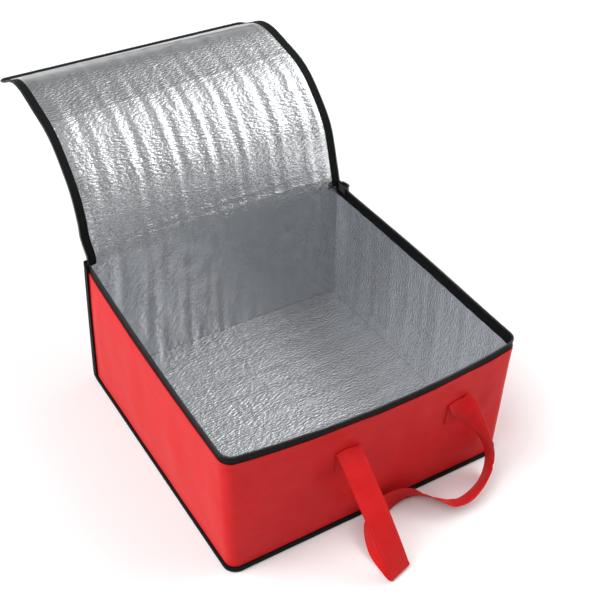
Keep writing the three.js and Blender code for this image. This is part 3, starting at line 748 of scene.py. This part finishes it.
def coil(path, inwards, height):
    """Helix of wire along a path: at each step the spoke turns by one part of a circle about the path.

    The wire's section lies in the plane of the spoke and the path, so its corners are the axis, plus the
    spoke times the coil's radius and the cosine of the wire's, plus the path's direction times the sine."""
    count = int((path[2][-1] - path[2][0]) / COIL_PITCH) * TURN_STEPS
    distances = np.linspace(path[2][0], path[2][-1], count + 1)
    plan, normals = along_path(path, distances)
    turn = 2 * np.pi * np.arange(count + 1) / TURN_STEPS
    outward = np.column_stack([normals, 0 * turn])
    forward = np.column_stack([-normals[:, 1], normals[:, 0], 0 * turn])
    axis = np.column_stack([plan, 0 * turn + height]) - inwards * outward
    spoke = np.cos(turn)[:, None] * outward + np.sin(turn)[:, None] * np.array([0, 0, 1])
    wire = 2 * np.pi * (np.arange(WIRE_SIDES) + 0.5) / WIRE_SIDES
    points = (axis[:, None] + spoke[:, None] * (COIL_RADIUS + WIRE_RADIUS * np.cos(wire))[None, :, None]
              + forward[:, None] * (WIRE_RADIUS * np.sin(wire))[None, :, None])
    return points, distances, np.linspace(0, 2 * np.pi * WIRE_RADIUS, WIRE_SIDES + 1)


rim_low, rim_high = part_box("rim_zip_tape")
rim_section = upright(foam_inset, foam_inset + TAPE_THICKNESS, rim_low.z, rim_high.z + TAPE_RISE, TAPE_ROWS)
rim_path = wall_path(rim_high.y)
points, facing = sweep(rim_path, rim_section)
rim_tape = add_piece("rim_zip_tape_cloth", [
    skin(slump(points, facing), rim_path[2], girth(rim_section))], tape)
ride_on(rim_tape, "bag_body", "rim_zip_tape")

coil_low, coil_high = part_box("rim_zip_coil")
coil_inwards = half_width - coil_high.x + (rim_height - coil_low.z) / 2
coil_height = (rim_height + coil_low.z) / 2
points, distances, around = coil(wall_path(coil_high.y), coil_inwards, coil_height)
rim_coil = add_piece("rim_zip_coil_wire", [
    skin(slump(points, 0 * points), distances, around)], nylon)
ride_on(rim_coil, "bag_body", "rim_zip_coil")

# %% [markdown]
# ## The lid's folds
# The lid and the back panel are one sheet. In the frame it is four stiff strips on hinges, and here it has
# to bend smoothly. Each piece of the lid is drawn flat, as when the bag is shut, and then opened: every
# point turns about its fold by a share that grows smoothly from one strip's middle to the next. The folds'
# places on the shut lid come from the frame's joints, each turned back by the folds before it.

# %% Folds of the shut lid
LID_JOINTS = ["lid_hinge", "lid_bend_2", "lid_bend_3", "lid_bend_4"]
STRIPS = (1, 2, 3, 4)
LAST_STRIP = STRIPS[-1]
hinge_y, hinge_z = joints["lid_hinge"]["pos_m"][1:]
full_turn = np.radians(joints["lid_hinge"]["range_deg"][1])
turns = [full_turn * follows.get(name, 1.0) for name in LID_JOINTS]


def spin(points, axis, angle):
    """Turns points by an angle about the line along X through (y, z) = axis."""
    y, z = points[..., 1] - axis[0], points[..., 2] - axis[1]
    cosine, sine = np.cos(angle), np.sin(angle)
    return np.stack([points[..., 0], axis[0] + y * cosine - z * sine, axis[1] + y * sine + z * cosine], -1)


folds = []
for name in LID_JOINTS:
    place_shut = np.array(joints[name]["pos_m"], float)
    for fold, turn in zip(folds, turns):
        place_shut = spin(place_shut, fold, turn)
    folds.append(place_shut[1:])
fold_reach = [hinge_y - fold[0] for fold in folds]
lid_reach = hinge_y + half_depth
strip_ends = fold_reach + [lid_reach]
strip_middles = [(start + end) / 2 for start, end in zip(strip_ends, strip_ends[1:])]
lid_thickness = folds[1][1] - hinge_z
print("folds at mm from the hinge", np.round(np.array(fold_reach) / MM, 1))
print("the lid is mm thick", round(lid_thickness / MM, 2))

# %% Opening a fold
SHARE_ROUNDS = 40


def opened(points, strip, share=1.0):
    """Shut place to open place: turned by a share of the strip's own fold, then by the folds before it."""
    points = spin(points, folds[strip - 1], -share * turns[strip - 1])
    for k in range(strip - 2, -1, -1):
        points = spin(points, folds[k], -turns[k])
    return points


def on_lid(x, reach, height):
    """Shut place of a point so far from the hinge and so high above the foil face."""
    x, reach, height = np.broadcast_arrays(x, reach, height)
    return np.stack([x, hinge_y - reach, hinge_z + height], -1)


def bend_zone(strip):
    """Start and end of the stretch in which a piece turns from the strip before to this one."""
    start = opened(on_lid(0.0, strip_middles[strip - 2], lid_thickness / 2), strip, 0.0)
    return start, opened(on_lid(0.0, strip_middles[strip - 1], lid_thickness / 2), strip, 1.0)


def folded(points, strip):
    """Opens shut points over one fold: the share depends on the open place, so it is found by repeating."""
    start, end = bend_zone(strip)
    share = np.zeros(points.shape[:-1])
    for _ in range(SHARE_ROUNDS):
        way = (opened(points, strip, share) - start) @ (end - start) / ((end - start) @ (end - start))
        share = smooth(way)
    return opened(points, strip, share)


# %% [markdown]
# ## The lid's swell
# A turn about a fold leaves a hump on either side of it. The shut sheet is given a low swell over each
# fold, which the turn takes away: the open lid is one round curve, and the shut one is nearly flat.

# %% Swell of the shut lid
ROUNDING, EASED, BELL_REACH = 30 * MM, 0.8, 90
LIP, LIP_REACH, LIFT, LIFT_REACH = 4.0 * MM, 25 * MM, 2.4 * MM, 80 * MM
SWELL_MARGIN, SWELL_START = 100 * MM, 20 * MM


def lid_swell():
    """How much the shut lid swells at each mm from the hinge, so that the open one bends in one round curve.

    The sheet with sharp folds is averaged along its length under a bell, which rounds the folds. The
    swell is the way from the sheet with soft folds to that, square to it. Before the free end the sheet
    lifts a little, and the end dips towards the rim."""
    reach = np.arange(-SWELL_MARGIN, lid_reach + SWELL_MARGIN, MM)
    middle = on_lid(0.0, reach, lid_thickness / 2)
    sharp, soft = opened(middle, 1)[:, 1:], opened(middle, 1)[:, 1:]
    for strip in STRIPS[1:]:
        past_fold, in_zone = reach >= fold_reach[strip - 1], reach >= strip_middles[strip - 2]
        sharp[past_fold] = opened(middle[past_fold], strip)[:, 1:]
        soft[in_zone] = folded(middle[in_zone], strip)[:, 1:]
    bell = np.exp(-0.5 * (np.arange(-BELL_REACH, BELL_REACH + 1) * MM / ROUNDING) ** 2)
    rounded = np.stack([np.convolve(sharp[:, i], bell / bell.sum(), mode="same") for i in (0, 1)], 1)
    travel = unit(np.gradient(rounded, axis=0))
    off = rounded - soft
    swell = off[:, 0] * travel[:, 1] - off[:, 1] * travel[:, 0]
    swell *= EASED * smooth((reach - strip_middles[0]) / SWELL_START)
    to_end = lid_reach - reach
    swell += LIFT * smooth((LIFT_REACH - to_end) / (LIFT_REACH - LIP_REACH))
    return reach, swell - LIP * np.clip(1 - to_end / LIP_REACH, 0, 1) ** 2


swell_reach, swell_height = lid_swell()
on_sheet = (swell_reach > 0) & (swell_reach < lid_reach)
print("the shut lid swells by up to mm", round(swell_height[on_sheet].max() / MM, 1))

# %% [markdown]
# ## Opening any piece of the lid
# The first piece is also the back panel, so it turns up at the hinge. The others bend over their own fold.
# The free lid of the real bag is also drawn in a little by its zip and hangs askew.

# %% Opening and joining
HINGE_SPREAD = 14 * MM
LID_DRAWN_IN, DRAWN_REACH, LID_SWAY = 0.985, 60 * MM, 8 * MM


def bent(points, strip):
    """Opens shut points over one fold, with the swell of the shut lid added first."""
    points = points.copy()
    points[..., 2] += np.interp(hinge_y - points[..., 1], swell_reach, swell_height)
    return folded(points, strip)


def risen(points):
    """Opens the first piece: below the hinge it is the back panel and stands, above it follows strip 1.

    Across the hinge the two places are mixed by a smooth share of the distance; the panel slumps with
    the walls."""
    reach, height = hinge_y - points[..., 1], points[..., 2] - hinge_z
    panel = np.stack([points[..., 0], hinge_y + height, hinge_z + reach], -1)
    share = smooth((reach + HINGE_SPREAD) / (2 * HINGE_SPREAD))[..., None]
    open_place = panel + share * (opened(points, 1) - panel)
    facing = np.zeros(points.shape) + [0, 1, 0]
    settle = 1 - smooth(reach / strip_middles[0])[..., None]
    return open_place + settle * (slump(open_place, facing) - open_place)


def open_lid(points, strip):
    """Shut place to open place for any piece. The free lid is drawn in a little and sways to the right."""
    points = points.copy()
    reach = hinge_y - points[..., 1]
    points[..., 0] *= 1 + (LID_DRAWN_IN - 1) * smooth(reach / DRAWN_REACH)
    points[..., 0] += LID_SWAY * np.clip(reach / lid_reach, 0, 1) ** 2
    return risen(points) if strip == 1 else bent(points, strip)


def join_lid(piece, strip, *nodes):
    """Bakes a lid piece in place and lets it stand for its CAD nodes. Its bend zone is found but not used.
    """
    if strip == 1:
        start = risen(on_lid(0.0, -HINGE_SPREAD, 0.0))
        end = risen(on_lid(0.0, HINGE_SPREAD, 0.0))
        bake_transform(piece)
    else:
        start, end = bend_zone(strip)
        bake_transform(piece)
    if nodes:
        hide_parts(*nodes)


# %% [markdown]
# ## Back panel and lid sheets
# Fabric on top, foil-faced foam below. The foil face has long waves down the lid, where the film has come
# loose from the foam, and a few sharp creases across it from folding. They are small heights added to the
# flat sheet. A crease is given by its distance from the hinge, its slant over half the width, its height
# and its width.

# %% Outlines and relief of the lid
LID_STEP = 3.2 * MM
FOIL_EDGE, SEAM_REACH, SEAM_DEPTH = 13.9 * MM, 9 * MM, 0.7 * MM
CALM_SHARE, CALM_END, CALM_SPAN = 0.35, 280 * MM, 120 * MM
CREASES = ((318 * MM, -12 * MM, 0.9 * MM, 2.2 * MM), (205 * MM, 10 * MM, 0.6 * MM, 2.4 * MM),
           (12 * MM, 0.0, 1.2 * MM, 2.6 * MM), (24 * MM, 6 * MM, 0.9 * MM, 2.4 * MM))
piece_starts = [-(hinge_z - fabric_bottom)] + strip_middles[:-1]
piece_ends = strip_middles[:-1] + [lid_reach]
lid_fabric_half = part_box("lid_outer_2")[1].x
lid_foam_half = half_width - FOIL_EDGE
lid_fabric_end = lid_reach - (half_width - lid_fabric_half)
lid_foam_end = lid_reach - (half_width - lid_foam_half)
back_foam_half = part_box("back_lining")[1].x


def on_the_lid(reach):
    """0 on the back panel, 1 on the lid, and a smooth share over the hinge's spread below the hinge."""
    return smooth((reach + HINGE_SPREAD) / HINGE_SPREAD)


def foil_relief(x, reach):
    """Height of the film on the lid: waves, weaker near the free end, small ridges, and long folds across.

    Each long fold is a bell across its own line, which crosses the lid at a slight slant. Near the zip
    the seam presses the foam down, and the relief fades with it."""
    strength = CALM_SHARE + (1 - CALM_SHARE) * smooth((CALM_END - reach) / CALM_SPAN)
    ridges = sum(height * np.exp(-((reach - at - slant * x / half_width) / width) ** 2)
                 for at, slant, height, width in CREASES)
    to_seam = np.minimum(lid_foam_half - np.abs(x), lid_foam_end - reach)
    pressed = smooth(1 - to_seam / SEAM_REACH) * on_the_lid(reach)
    loose = WAVE_HEIGHT * strength * film_waves(x, reach) + ridges + loose_creases(x, reach)
    return SEAM_DEPTH * pressed - loose * (1 - pressed)


print("fabric ends at mm from the hinge", round(lid_fabric_end / MM, 1), "foam", round(lid_foam_end / MM, 1))

# %% Lid sheets
def lid_sheet(strip, start, end, halves, under, over, step):
    """One layer of the lid: across its lower face and back over its upper face, row by row up the lid.

    Its half width goes from the first of halves, on the back panel, to the second, on the lid."""
    reach = np.linspace(start, end, int((end - start) / step))
    across = np.linspace(-1, 1, int(2 * half_width / step))
    half = halves[0] + (halves[1] - halves[0]) * on_the_lid(reach)
    x = half[:, None] * across
    low = on_lid(x, reach[:, None], under(x, reach[:, None]))
    high = on_lid(x, reach[:, None], over(x, reach[:, None]))[:, ::-1]
    points = open_lid(np.concatenate([low, high], 1), strip)
    return skin(points, reach, both_faces(across * half_width))


for strip, start, end in zip(STRIPS, piece_starts, piece_ends):
    outer = lid_sheet(
        strip, start, min(end, lid_fabric_end), (half_width, lid_fabric_half),
        lambda x, reach: 0 * x + lid_thickness - fabric_thickness, lambda x, reach: 0 * x + lid_thickness,
        LID_STEP)
    inner = lid_sheet(
        strip, max(start, lining_bottom - hinge_z), min(end, lid_foam_end), (back_foam_half, lid_foam_half),
        foil_relief, lambda x, reach: 0 * x + foam_thickness, FOIL_STEP)
    names = ("back_outer", "lid_outer_1") if strip == 1 else (f"lid_outer_{strip}",)
    cloth = add_piece(f"lid_fabric_{strip}", [outer], fabric)
    join_lid(cloth, strip, *names)
    names = ("back_lining", "lid_lining_1") if strip == 1 else (f"lid_lining_{strip}",)
    film = add_piece(f"lid_foil_{strip}", [inner], foil)
    join_lid(film, strip, *names)

# %% Stitches round the lid
SEAM_INSET, SEAM_START, SEAM_STEPS = 4 * MM, 6 * MM, 60


def lid_row(x, reach, strip):
    """A row of stitches on the lid's fabric: its points opened, and the way that the cloth faces there."""
    place = open_lid(on_lid(x, reach, lid_thickness), strip)
    return stitch_row(place, open_lid(on_lid(x, reach, lid_thickness + MM), strip) - place)


seam_half, seam_end = lid_fabric_half - SEAM_INSET, lid_fabric_end - SEAM_INSET
for strip, start, end in zip(STRIPS, piece_starts, piece_ends):
    reach = np.linspace(max(start, SEAM_START), min(end, seam_end), SEAM_STEPS)
    rows = [lid_row(side * seam_half, reach, strip) for side in (-1, 1)]
    if strip == LAST_STRIP:
        rows.append(lid_row(np.linspace(-1, 1, SEAM_STEPS) * seam_half, seam_end, strip))
    join_lid(add_piece(f"lid_thread_{strip}", rows, thread), strip)

# %% [markdown]
# ## Lid half of the zip
# The same tape and coil as on the rim, on the shut lid's edge. The last piece goes round the two front
# corners; the others are a straight stretch on each side. Drawn shut and then opened like the sheets, they
# stay on the edge. The tape is thicker on its inner side, where it is sewn between the fabric and the foam.

# %% Lid tape and coil
TAPE_INNER, TAPE_POINTS = 13.6 * MM, 5
LID_TAPE_LOW, LID_TAPE_HIGH, LID_TAPE_SEAM = 0.2 * MM, 1.4 * MM, 3.7 * MM
lid_coil_height = (LID_TAPE_LOW + LID_TAPE_HIGH) / 2


def lid_edges(strip):
    """Plan of the shut lid's edge along one piece: two straight sides, or the front with its corners."""
    start, end = max(piece_starts[strip - 1], -HINGE_SPREAD), piece_ends[strip - 1]
    if strip == LAST_STRIP:
        return [wall_path(hinge_y - start)]
    y = np.linspace(hinge_y - start, hinge_y - end, int((end - start) / LID_STEP))
    return [(np.stack([0 * y + side * half_width, y], 1), np.stack([0 * y + side, 0 * y], 1), y[0] - y)
            for side in (-1, 1)]


outward_steps = np.linspace(TAPE_INNER, coil_inwards, TAPE_POINTS)
lid_tape_section = np.concatenate([
    np.stack([outward_steps, 0 * outward_steps + hinge_z + LID_TAPE_LOW], 1),
    np.stack([outward_steps[::-1], hinge_z + np.linspace(LID_TAPE_HIGH, LID_TAPE_SEAM, TAPE_POINTS)], 1)])
for strip in STRIPS:
    tapes, coils = [], []
    for edge in lid_edges(strip):
        points, _ = sweep(edge, lid_tape_section)
        tapes.append(skin(open_lid(points, strip), edge[2], girth(lid_tape_section)))
        points, distances, around = coil(edge, coil_inwards, hinge_z + lid_coil_height)
        coils.append(skin(open_lid(points, strip), distances, around))
    names = (f"lid_zip_left_{strip}", f"lid_zip_right_{strip}")
    if strip == LAST_STRIP:
        names = ("lid_zip_front",)
    join_lid(add_piece(f"lid_tape_{strip}", tapes, tape), strip, *names)
    join_lid(add_piece(f"lid_coil_{strip}", coils, nylon), strip)

# %% [markdown]
# ## Strap handles
# Each handle is one length of folded fabric, 33 mm wide, sewn to the wall at two patches. It is slack and
# lies as it fell. Its route is a smooth curve through stations, and a thin section with two sewn grooves is
# carried along it. A station is a place in mm (along the wall, out from it, above the floor) and the way in
# which the width points there. The folds are where the frame has them. Between them the front strap arches
# and twists more than the frame's stiff solid, as in the photograph.

# %% Routes of the straps
STRAP_WIDTH, STRAP_THICKNESS, PATCH_LENGTH = 33.0, 1.4, 34.0
PATCH_OUT, FOLD_OUT, FOLD_TOP = 1.0, 2.7, fold_height / MM
FRONT_ROUTE = np.array([
    (-46, FOLD_OUT, FOLD_TOP, 1, 0, 0), (-45, 28, 120, 1, 0, 0), (-43, 52, 94, 1, 0, 0),
    (-39.5, 73, 66, 1, -0.04, 0), (-34, 90, 36, 1, -0.14, 0), (-29, 99.5, 13, 1, -0.24, 0),
    (-27, 102, 4, 1, -0.28, 0), (-28, 98, 1, 1, -0.28, 0), (-28, 84, 1, 1, -0.2, 0),
    (-27, 62, 2, 1, -0.1, -0.05), (-17, 34, 7, 0.9, 0.15, -0.4), (2, 17, 15, 0.4, 0.25, -0.9),
    (25, 12, 17, 0.05, 0, -1), (45, 14, 16, 0, -0.3, -0.95), (60, 22, 13, 0.1, -0.65, -0.75),
    (74, 37, 11, 0.12, -0.8, -0.6), (87, 50, 10, 0.12, -0.84, -0.52), (100, 55, 11, 0.02, -0.78, -0.62),
    (119, 52, 13, 0, -0.68, -0.73), (143, 41.5, 14.4, 0.05, -0.57, -0.82),
    (157.5, 31.5, 18, 0.22, -0.62, -0.75), (163, 25, 28, 0.34, -0.75, -0.5),
    (161, 21.5, 43, 0.25, -0.9, -0.28), (153, 19.5, 64, 0, -0.95, -0.2), (137, 17, 93, -0.28, -0.85, -0.36),
    (121, 10, 124, -0.68, -0.5, -0.42), (112, FOLD_OUT, FOLD_TOP, -1, 0, 0)])
BACK_ROUTE = np.array([
    (-46, FOLD_OUT, FOLD_TOP, -1, 0, 0), (-61, 6, 100, -1, 0, 0.3), (-81, 12, 55, -1, 0.5, 0.4),
    (-96, 24, 22, -0.6, 0.9, 0.5), (-88.5, 33, 5, -0.15, 1, 0.1), (-61, 38, 1, 0, 1, 0),
    (33, 42, 1, 0, 1, 0), (127, 38, 1, 0, 1, 0), (154.5, 33, 5, 0.15, 1, 0.1), (162, 24, 22, 0.6, 0.9, 0.5),
    (147, 12, 55, 1, 0.5, 0.4), (127, 6, 100, 1, 0, 0.3), (112, FOLD_OUT, FOLD_TOP, 1, 0, 0)])
print("stations", len(FRONT_ROUTE), "in front and", len(BACK_ROUTE), "at the back")

# %% Lines of the straps
ROUTE_STEPS, FOLD_STEPS, SEWN_ROWS, PATCH_ROWS = 12, 7, 9, 23
CLEARANCE, OFF_WALL, OFF_BINDING = 0.3, 2.0, 3.6
SMALLEST_GAP = 1e-6


def through(stations, steps):
    """Centripetal Catmull-Rom curve: a cubic between each two stations, whose end slopes come from the
    neighbours, each weighed by the square root of its distance."""
    ends = 2 * stations[[0, -1]] - stations[[1, -2]]
    p = np.concatenate([ends[:1], stations, ends[1:]])
    gap = np.maximum(np.linalg.norm(np.diff(p, axis=0), axis=1), SMALLEST_GAP)[:, None] ** 0.5
    before, here, there, after = p[:-3], p[1:-2], p[2:-1], p[3:]
    g0, g1, g2 = gap[:-2], gap[1:-1], gap[2:]
    leave = g1 * ((here - before) / g0 - (there - before) / (g0 + g1) + (there - here) / g1)
    arrive = g1 * ((there - here) / g1 - (after - here) / (g1 + g2) + (after - there) / g2)
    t = np.linspace(0, 1, steps, endpoint=False)[None, :, None]
    here, there, leave, arrive = here[:, None], there[:, None], leave[:, None], arrive[:, None]
    curve = (here + leave * t + (3 * (there - here) - 2 * leave - arrive) * t ** 2
             + (2 * (here - there) + leave + arrive) * t ** 3)
    return np.concatenate([curve.reshape(-1, stations.shape[1]), stations[-1:]])


def strap_line(route, wall_side):
    """Middle and width along a strap, in mm, with the tight fold over each patch added.

    The fold is a half circle in the upright plane from the patch's middle to the strap's."""
    middle, width = through(route[:, :3], ROUTE_STEPS), through(route[:, 3:], ROUTE_STEPS)
    turn = np.linspace(np.pi, 0, FOLD_STEPS, endpoint=False)
    fold = (FOLD_OUT - PATCH_OUT) / 2
    arc = np.stack([0 * turn, PATCH_OUT + fold + fold * np.cos(turn), FOLD_TOP + fold * np.sin(turn)], 1)
    first, last = arc + [route[0, 0], 0, 0], arc[::-1] + [route[-1, 0], 0, 0]
    middle = np.concatenate([first, middle, last])
    width = np.pad(width, ((FOLD_STEPS, FOLD_STEPS), (0, 0)), mode="edge")
    middle[:, 1] = wall_side * (half_depth / MM + middle[:, 1])
    width[:, 1] *= wall_side
    return middle, width


def strap_frame(route, wall_side):
    """Middle, in metres, width and face directions along a strap.

    The width is turned square to the strap's travel. Then the middle is kept above the floor, and off
    the wall and the base binding, by as much as the turned section reaches; only the sewn ends stay on
    the wall."""
    middle, width = strap_line(route, wall_side)
    travel = unit(np.gradient(middle, axis=0))
    width = square_to(travel, width)
    face = np.cross(travel, width)
    room = (STRAP_WIDTH * np.abs(width) + STRAP_THICKNESS * np.abs(face)) / 2
    middle[:, 2] = np.maximum(middle[:, 2], room[:, 2] + CLEARANCE)
    over_binding = middle[:, 2] - room[:, 2] < binding_height / MM + CLEARANCE
    nearest = half_depth / MM + np.where(over_binding, OFF_BINDING, OFF_WALL) + room[:, 1]
    free = slice(SEWN_ROWS, -SEWN_ROWS)
    middle[free, 1] = wall_side * np.maximum(wall_side * middle[free, 1], nearest[free])
    return middle * MM, width, face


def patch_frame(x, wall_side):
    """Middle, width and face of the sewn end of a strap, flat on the wall below its fold."""
    z = np.linspace(FOLD_TOP - PATCH_LENGTH, FOLD_TOP, PATCH_ROWS) * MM
    middle = np.column_stack([0 * z + x, 0 * z + wall_side * (half_depth + PATCH_OUT * MM), z])
    return middle, 0 * middle + [-wall_side, 0, 0], 0 * middle + [0, wall_side, 0]


# %% Section and stitches of the straps
GROOVE_AT, GROOVE_WIDTH, GROOVE_DEPTH = 0.8, 0.06, 0.45
EDGE_DEPTH, EDGE_POWER = 0.55, 24
SECTION_POINTS = 23


def strap_section():
    """Half the width and thickness across the strap, thinner in two grooves and at the rounded edges."""
    u = np.linspace(-1, 1, SECTION_POINTS)
    groove = GROOVE_DEPTH * np.exp(-((np.abs(u) - GROOVE_AT) / GROOVE_WIDTH) ** 2)
    pressed = 1 - groove - EDGE_DEPTH * np.abs(u) ** EDGE_POWER
    return u * STRAP_WIDTH / 2 * MM, pressed * STRAP_THICKNESS / 2 * MM


def strap_skin(middle, width, face, wall_side):
    """The section carried along the strap, one face there and the other back, and slumped with the wall."""
    u, thick = strap_section()
    upper = middle[:, None] + width[:, None] * u[None, :, None] + face[:, None] * thick[None, :, None]
    lower = middle[:, None] + width[:, None] * u[None, ::-1, None] - face[:, None] * thick[None, ::-1, None]
    points = np.concatenate([upper, lower], 1)
    return skin(slump(points, 0 * points + [0, wall_side, 0]), run_length(middle), both_faces(u))


def strap_rows(middle, width, face, wall_side):
    """The two rows of stitches along a strap, on both of its faces, in the grooves."""
    u, thick = (np.interp(GROOVE_AT, np.linspace(-1, 1, SECTION_POINTS), part) for part in strap_section())
    lean = 0 * middle + [0, wall_side, 0]
    return [stitch_row(slump(middle + side * u * width + way * thick * face, lean), way * face)
            for side in (-1, 1) for way in (-1, 1)]


# %% Strap and patch pieces
BEND_START, FRONT_BEND_END, BACK_BEND_END = 146 * MM, 60 * MM, 121 * MM
# Straps and patches take the deeper red, which is painted shade.
for name, route, wall_side, bend_end in (
        ("front", FRONT_ROUTE, -1, FRONT_BEND_END), ("back", BACK_ROUTE, 1, BACK_BEND_END)):
    for side, x in zip(("left", "right"), patch_middles):
        sewn = patch_frame(x, wall_side)
        patch = add_piece(f"{name}_patch_{side}_cloth", [
            strap_skin(*sewn, wall_side)], strap_fabric_painted_shade)
        ride_on(patch, "bag_body", f"{name}_patch_{side}")
        rows = add_piece(f"{name}_patch_{side}_thread", strap_rows(*sewn, wall_side)[1::2], thread)
        ride_on(rows, "bag_body")
    hung = strap_frame(route, wall_side)
    strap = add_piece(f"{name}_strap_cloth", [strap_skin(*hung, wall_side)], strap_fabric_painted_shade)
    rows = add_piece(f"{name}_strap_thread", strap_rows(*hung, wall_side), thread)
    for piece in (strap, rows):
        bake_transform(piece)
    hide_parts(f"{name}_handle")

# %% [markdown]
# ## Zip hardware
# The slider, its pull and the two end stops are small castings, and the frame already has their shapes, so
# they only get their finish.

# %% Enamel on the slider, pull and stops
CASTINGS = ("zip_slider", "zip_pull", "zip_stop_left", "zip_stop_right")
for node in CASTINGS:
    for holder in frame["nodes"][node].material_slots:
        holder.material = enamel
print("enamelled", len(CASTINGS), "pieces")

# %% [markdown]
# ## Floor and light
# A pale floor, one far and wide light from the left, and a grey sky, white at the horizon, with a bright
# patch on either side. The foil is a broken mirror, so it needs bright and dark parts round it to show its
# facets. The floor is white to the camera and to mirrors, and greyer to the light that it throws back, so
# that it doesn't wash the cloth out. Blender's mix node has sockets for numbers too, so its colour sockets
# go by number.

# %% Floor
FLOOR_HALF, MOTTLE_SIZE = 100.0, 0.3
MIX_FIRST, MIX_SECOND, MIX_RESULT = 6, 7, 2
floor_finish, tree = new_material("matt_white_floor")
place = add_node(tree, "ShaderNodeTexCoord").outputs["Object"]
painted = shades(tree, noise(tree, place, MOTTLE_SIZE, detail=2.0), "#F1F1F1", "#F4F4F4")
path = add_node(tree, "ShaderNodeLightPath")
mirrored = maths(tree, "ADD", path.outputs["Is Glossy Ray"], path.outputs["Is Transmission Ray"])
seen = maths(tree, "ADD", path.outputs["Is Camera Ray"], mirrored)
bounced = add_node(tree, "ShaderNodeMix", {
    "Factor": seen, MIX_FIRST: linear("#ACACAE"), MIX_SECOND: painted}, data_type="RGBA")
shader = add_node(tree, "ShaderNodeBsdfDiffuse", {"Color": bounced.outputs[MIX_RESULT]})
add_node(tree, "ShaderNodeOutputMaterial", {"Surface": shader.outputs["BSDF"]})
floor_corners = [(x * FLOOR_HALF, y * FLOOR_HALF, 0.0) for x, y in ((-1, -1), (1, -1), (1, 1), (-1, 1))]
floor_mesh = bpy.data.meshes.new("floor")
floor_mesh.from_pydata(floor_corners, [], [(0, 1, 2, 3)])
floor_mesh.materials.append(floor_finish)
floor = bpy.data.objects.new("floor", floor_mesh)
bpy.context.scene.collection.objects.link(floor)
print("floor of", floor_finish.name)

# %% Far light
SUN_FROM = np.array([-1.5, 0.25, 1.75])
SUN_STRENGTH, SUN_SPREAD = 2.5, np.radians(60)
sun_data = bpy.data.lights.new("far_soft_light", "SUN")
sun_data.energy = SUN_STRENGTH
sun_data.angle = SUN_SPREAD
sun = bpy.data.objects.new("far_soft_light", sun_data)
back = unit(SUN_FROM)
right = unit(np.cross([0, 0, 1], back))
sun.matrix_world = Matrix(np.column_stack([right, np.cross(back, right), back]).tolist()).to_4x4()
sun.visible_glossy = False
bpy.context.scene.collection.objects.link(sun)
print("lit by", sun.name)

# %% Sky
SKY_GLOW = np.array([0.79, -0.03, 0.61])
SKY_STRENGTH, HORIZON_LOW, HORIZON_HIGH = 0.22, 0.03, 0.16
PATCHES = ((SKY_GLOW, 8.0, 3.3), (SKY_GLOW, 50.0, 3.0), (SUN_FROM, 5.0, 1.0))
sky = bpy.data.worlds.new("grey_sky")
bpy.context.scene.world = sky
sky.use_nodes = True
tree = sky.node_tree
tree.nodes.clear()
direction = add_node(tree, "ShaderNodeTexCoord").outputs["Generated"]


def bright_patch(aim, power):
    """A round bright patch of sky: the cosine of the angle from its middle, if above 0, to a power."""
    facing = add_node(tree, "ShaderNodeVectorMath", {0: direction, 1: unit(aim)}, operation="DOT_PRODUCT")
    return maths(tree, "POWER", maths(tree, "MAXIMUM", facing.outputs["Value"], 0.0), power)


strength = SKY_STRENGTH
for aim, power, brightness in PATCHES:
    strength = maths(tree, "MULTIPLY_ADD", bright_patch(aim, power), brightness, strength)
rise = add_node(tree, "ShaderNodeSeparateXYZ", {"Vector": direction})
horizon = ranged(tree, rise.outputs["Z"], start=1.0, end=0.0, low=HORIZON_LOW, high=HORIZON_HIGH)
background = add_node(tree, "ShaderNodeBackground", {
    "Color": linear("#FFFFFF"), "Strength": maths(tree, "MAXIMUM", strength, horizon)})
add_node(tree, "ShaderNodeOutputWorld", {"Surface": background.outputs["Background"]})
bpy.context.scene.view_settings.view_transform = "Standard"
print("under", sky.name, "with", len(PATCHES), "bright patches")
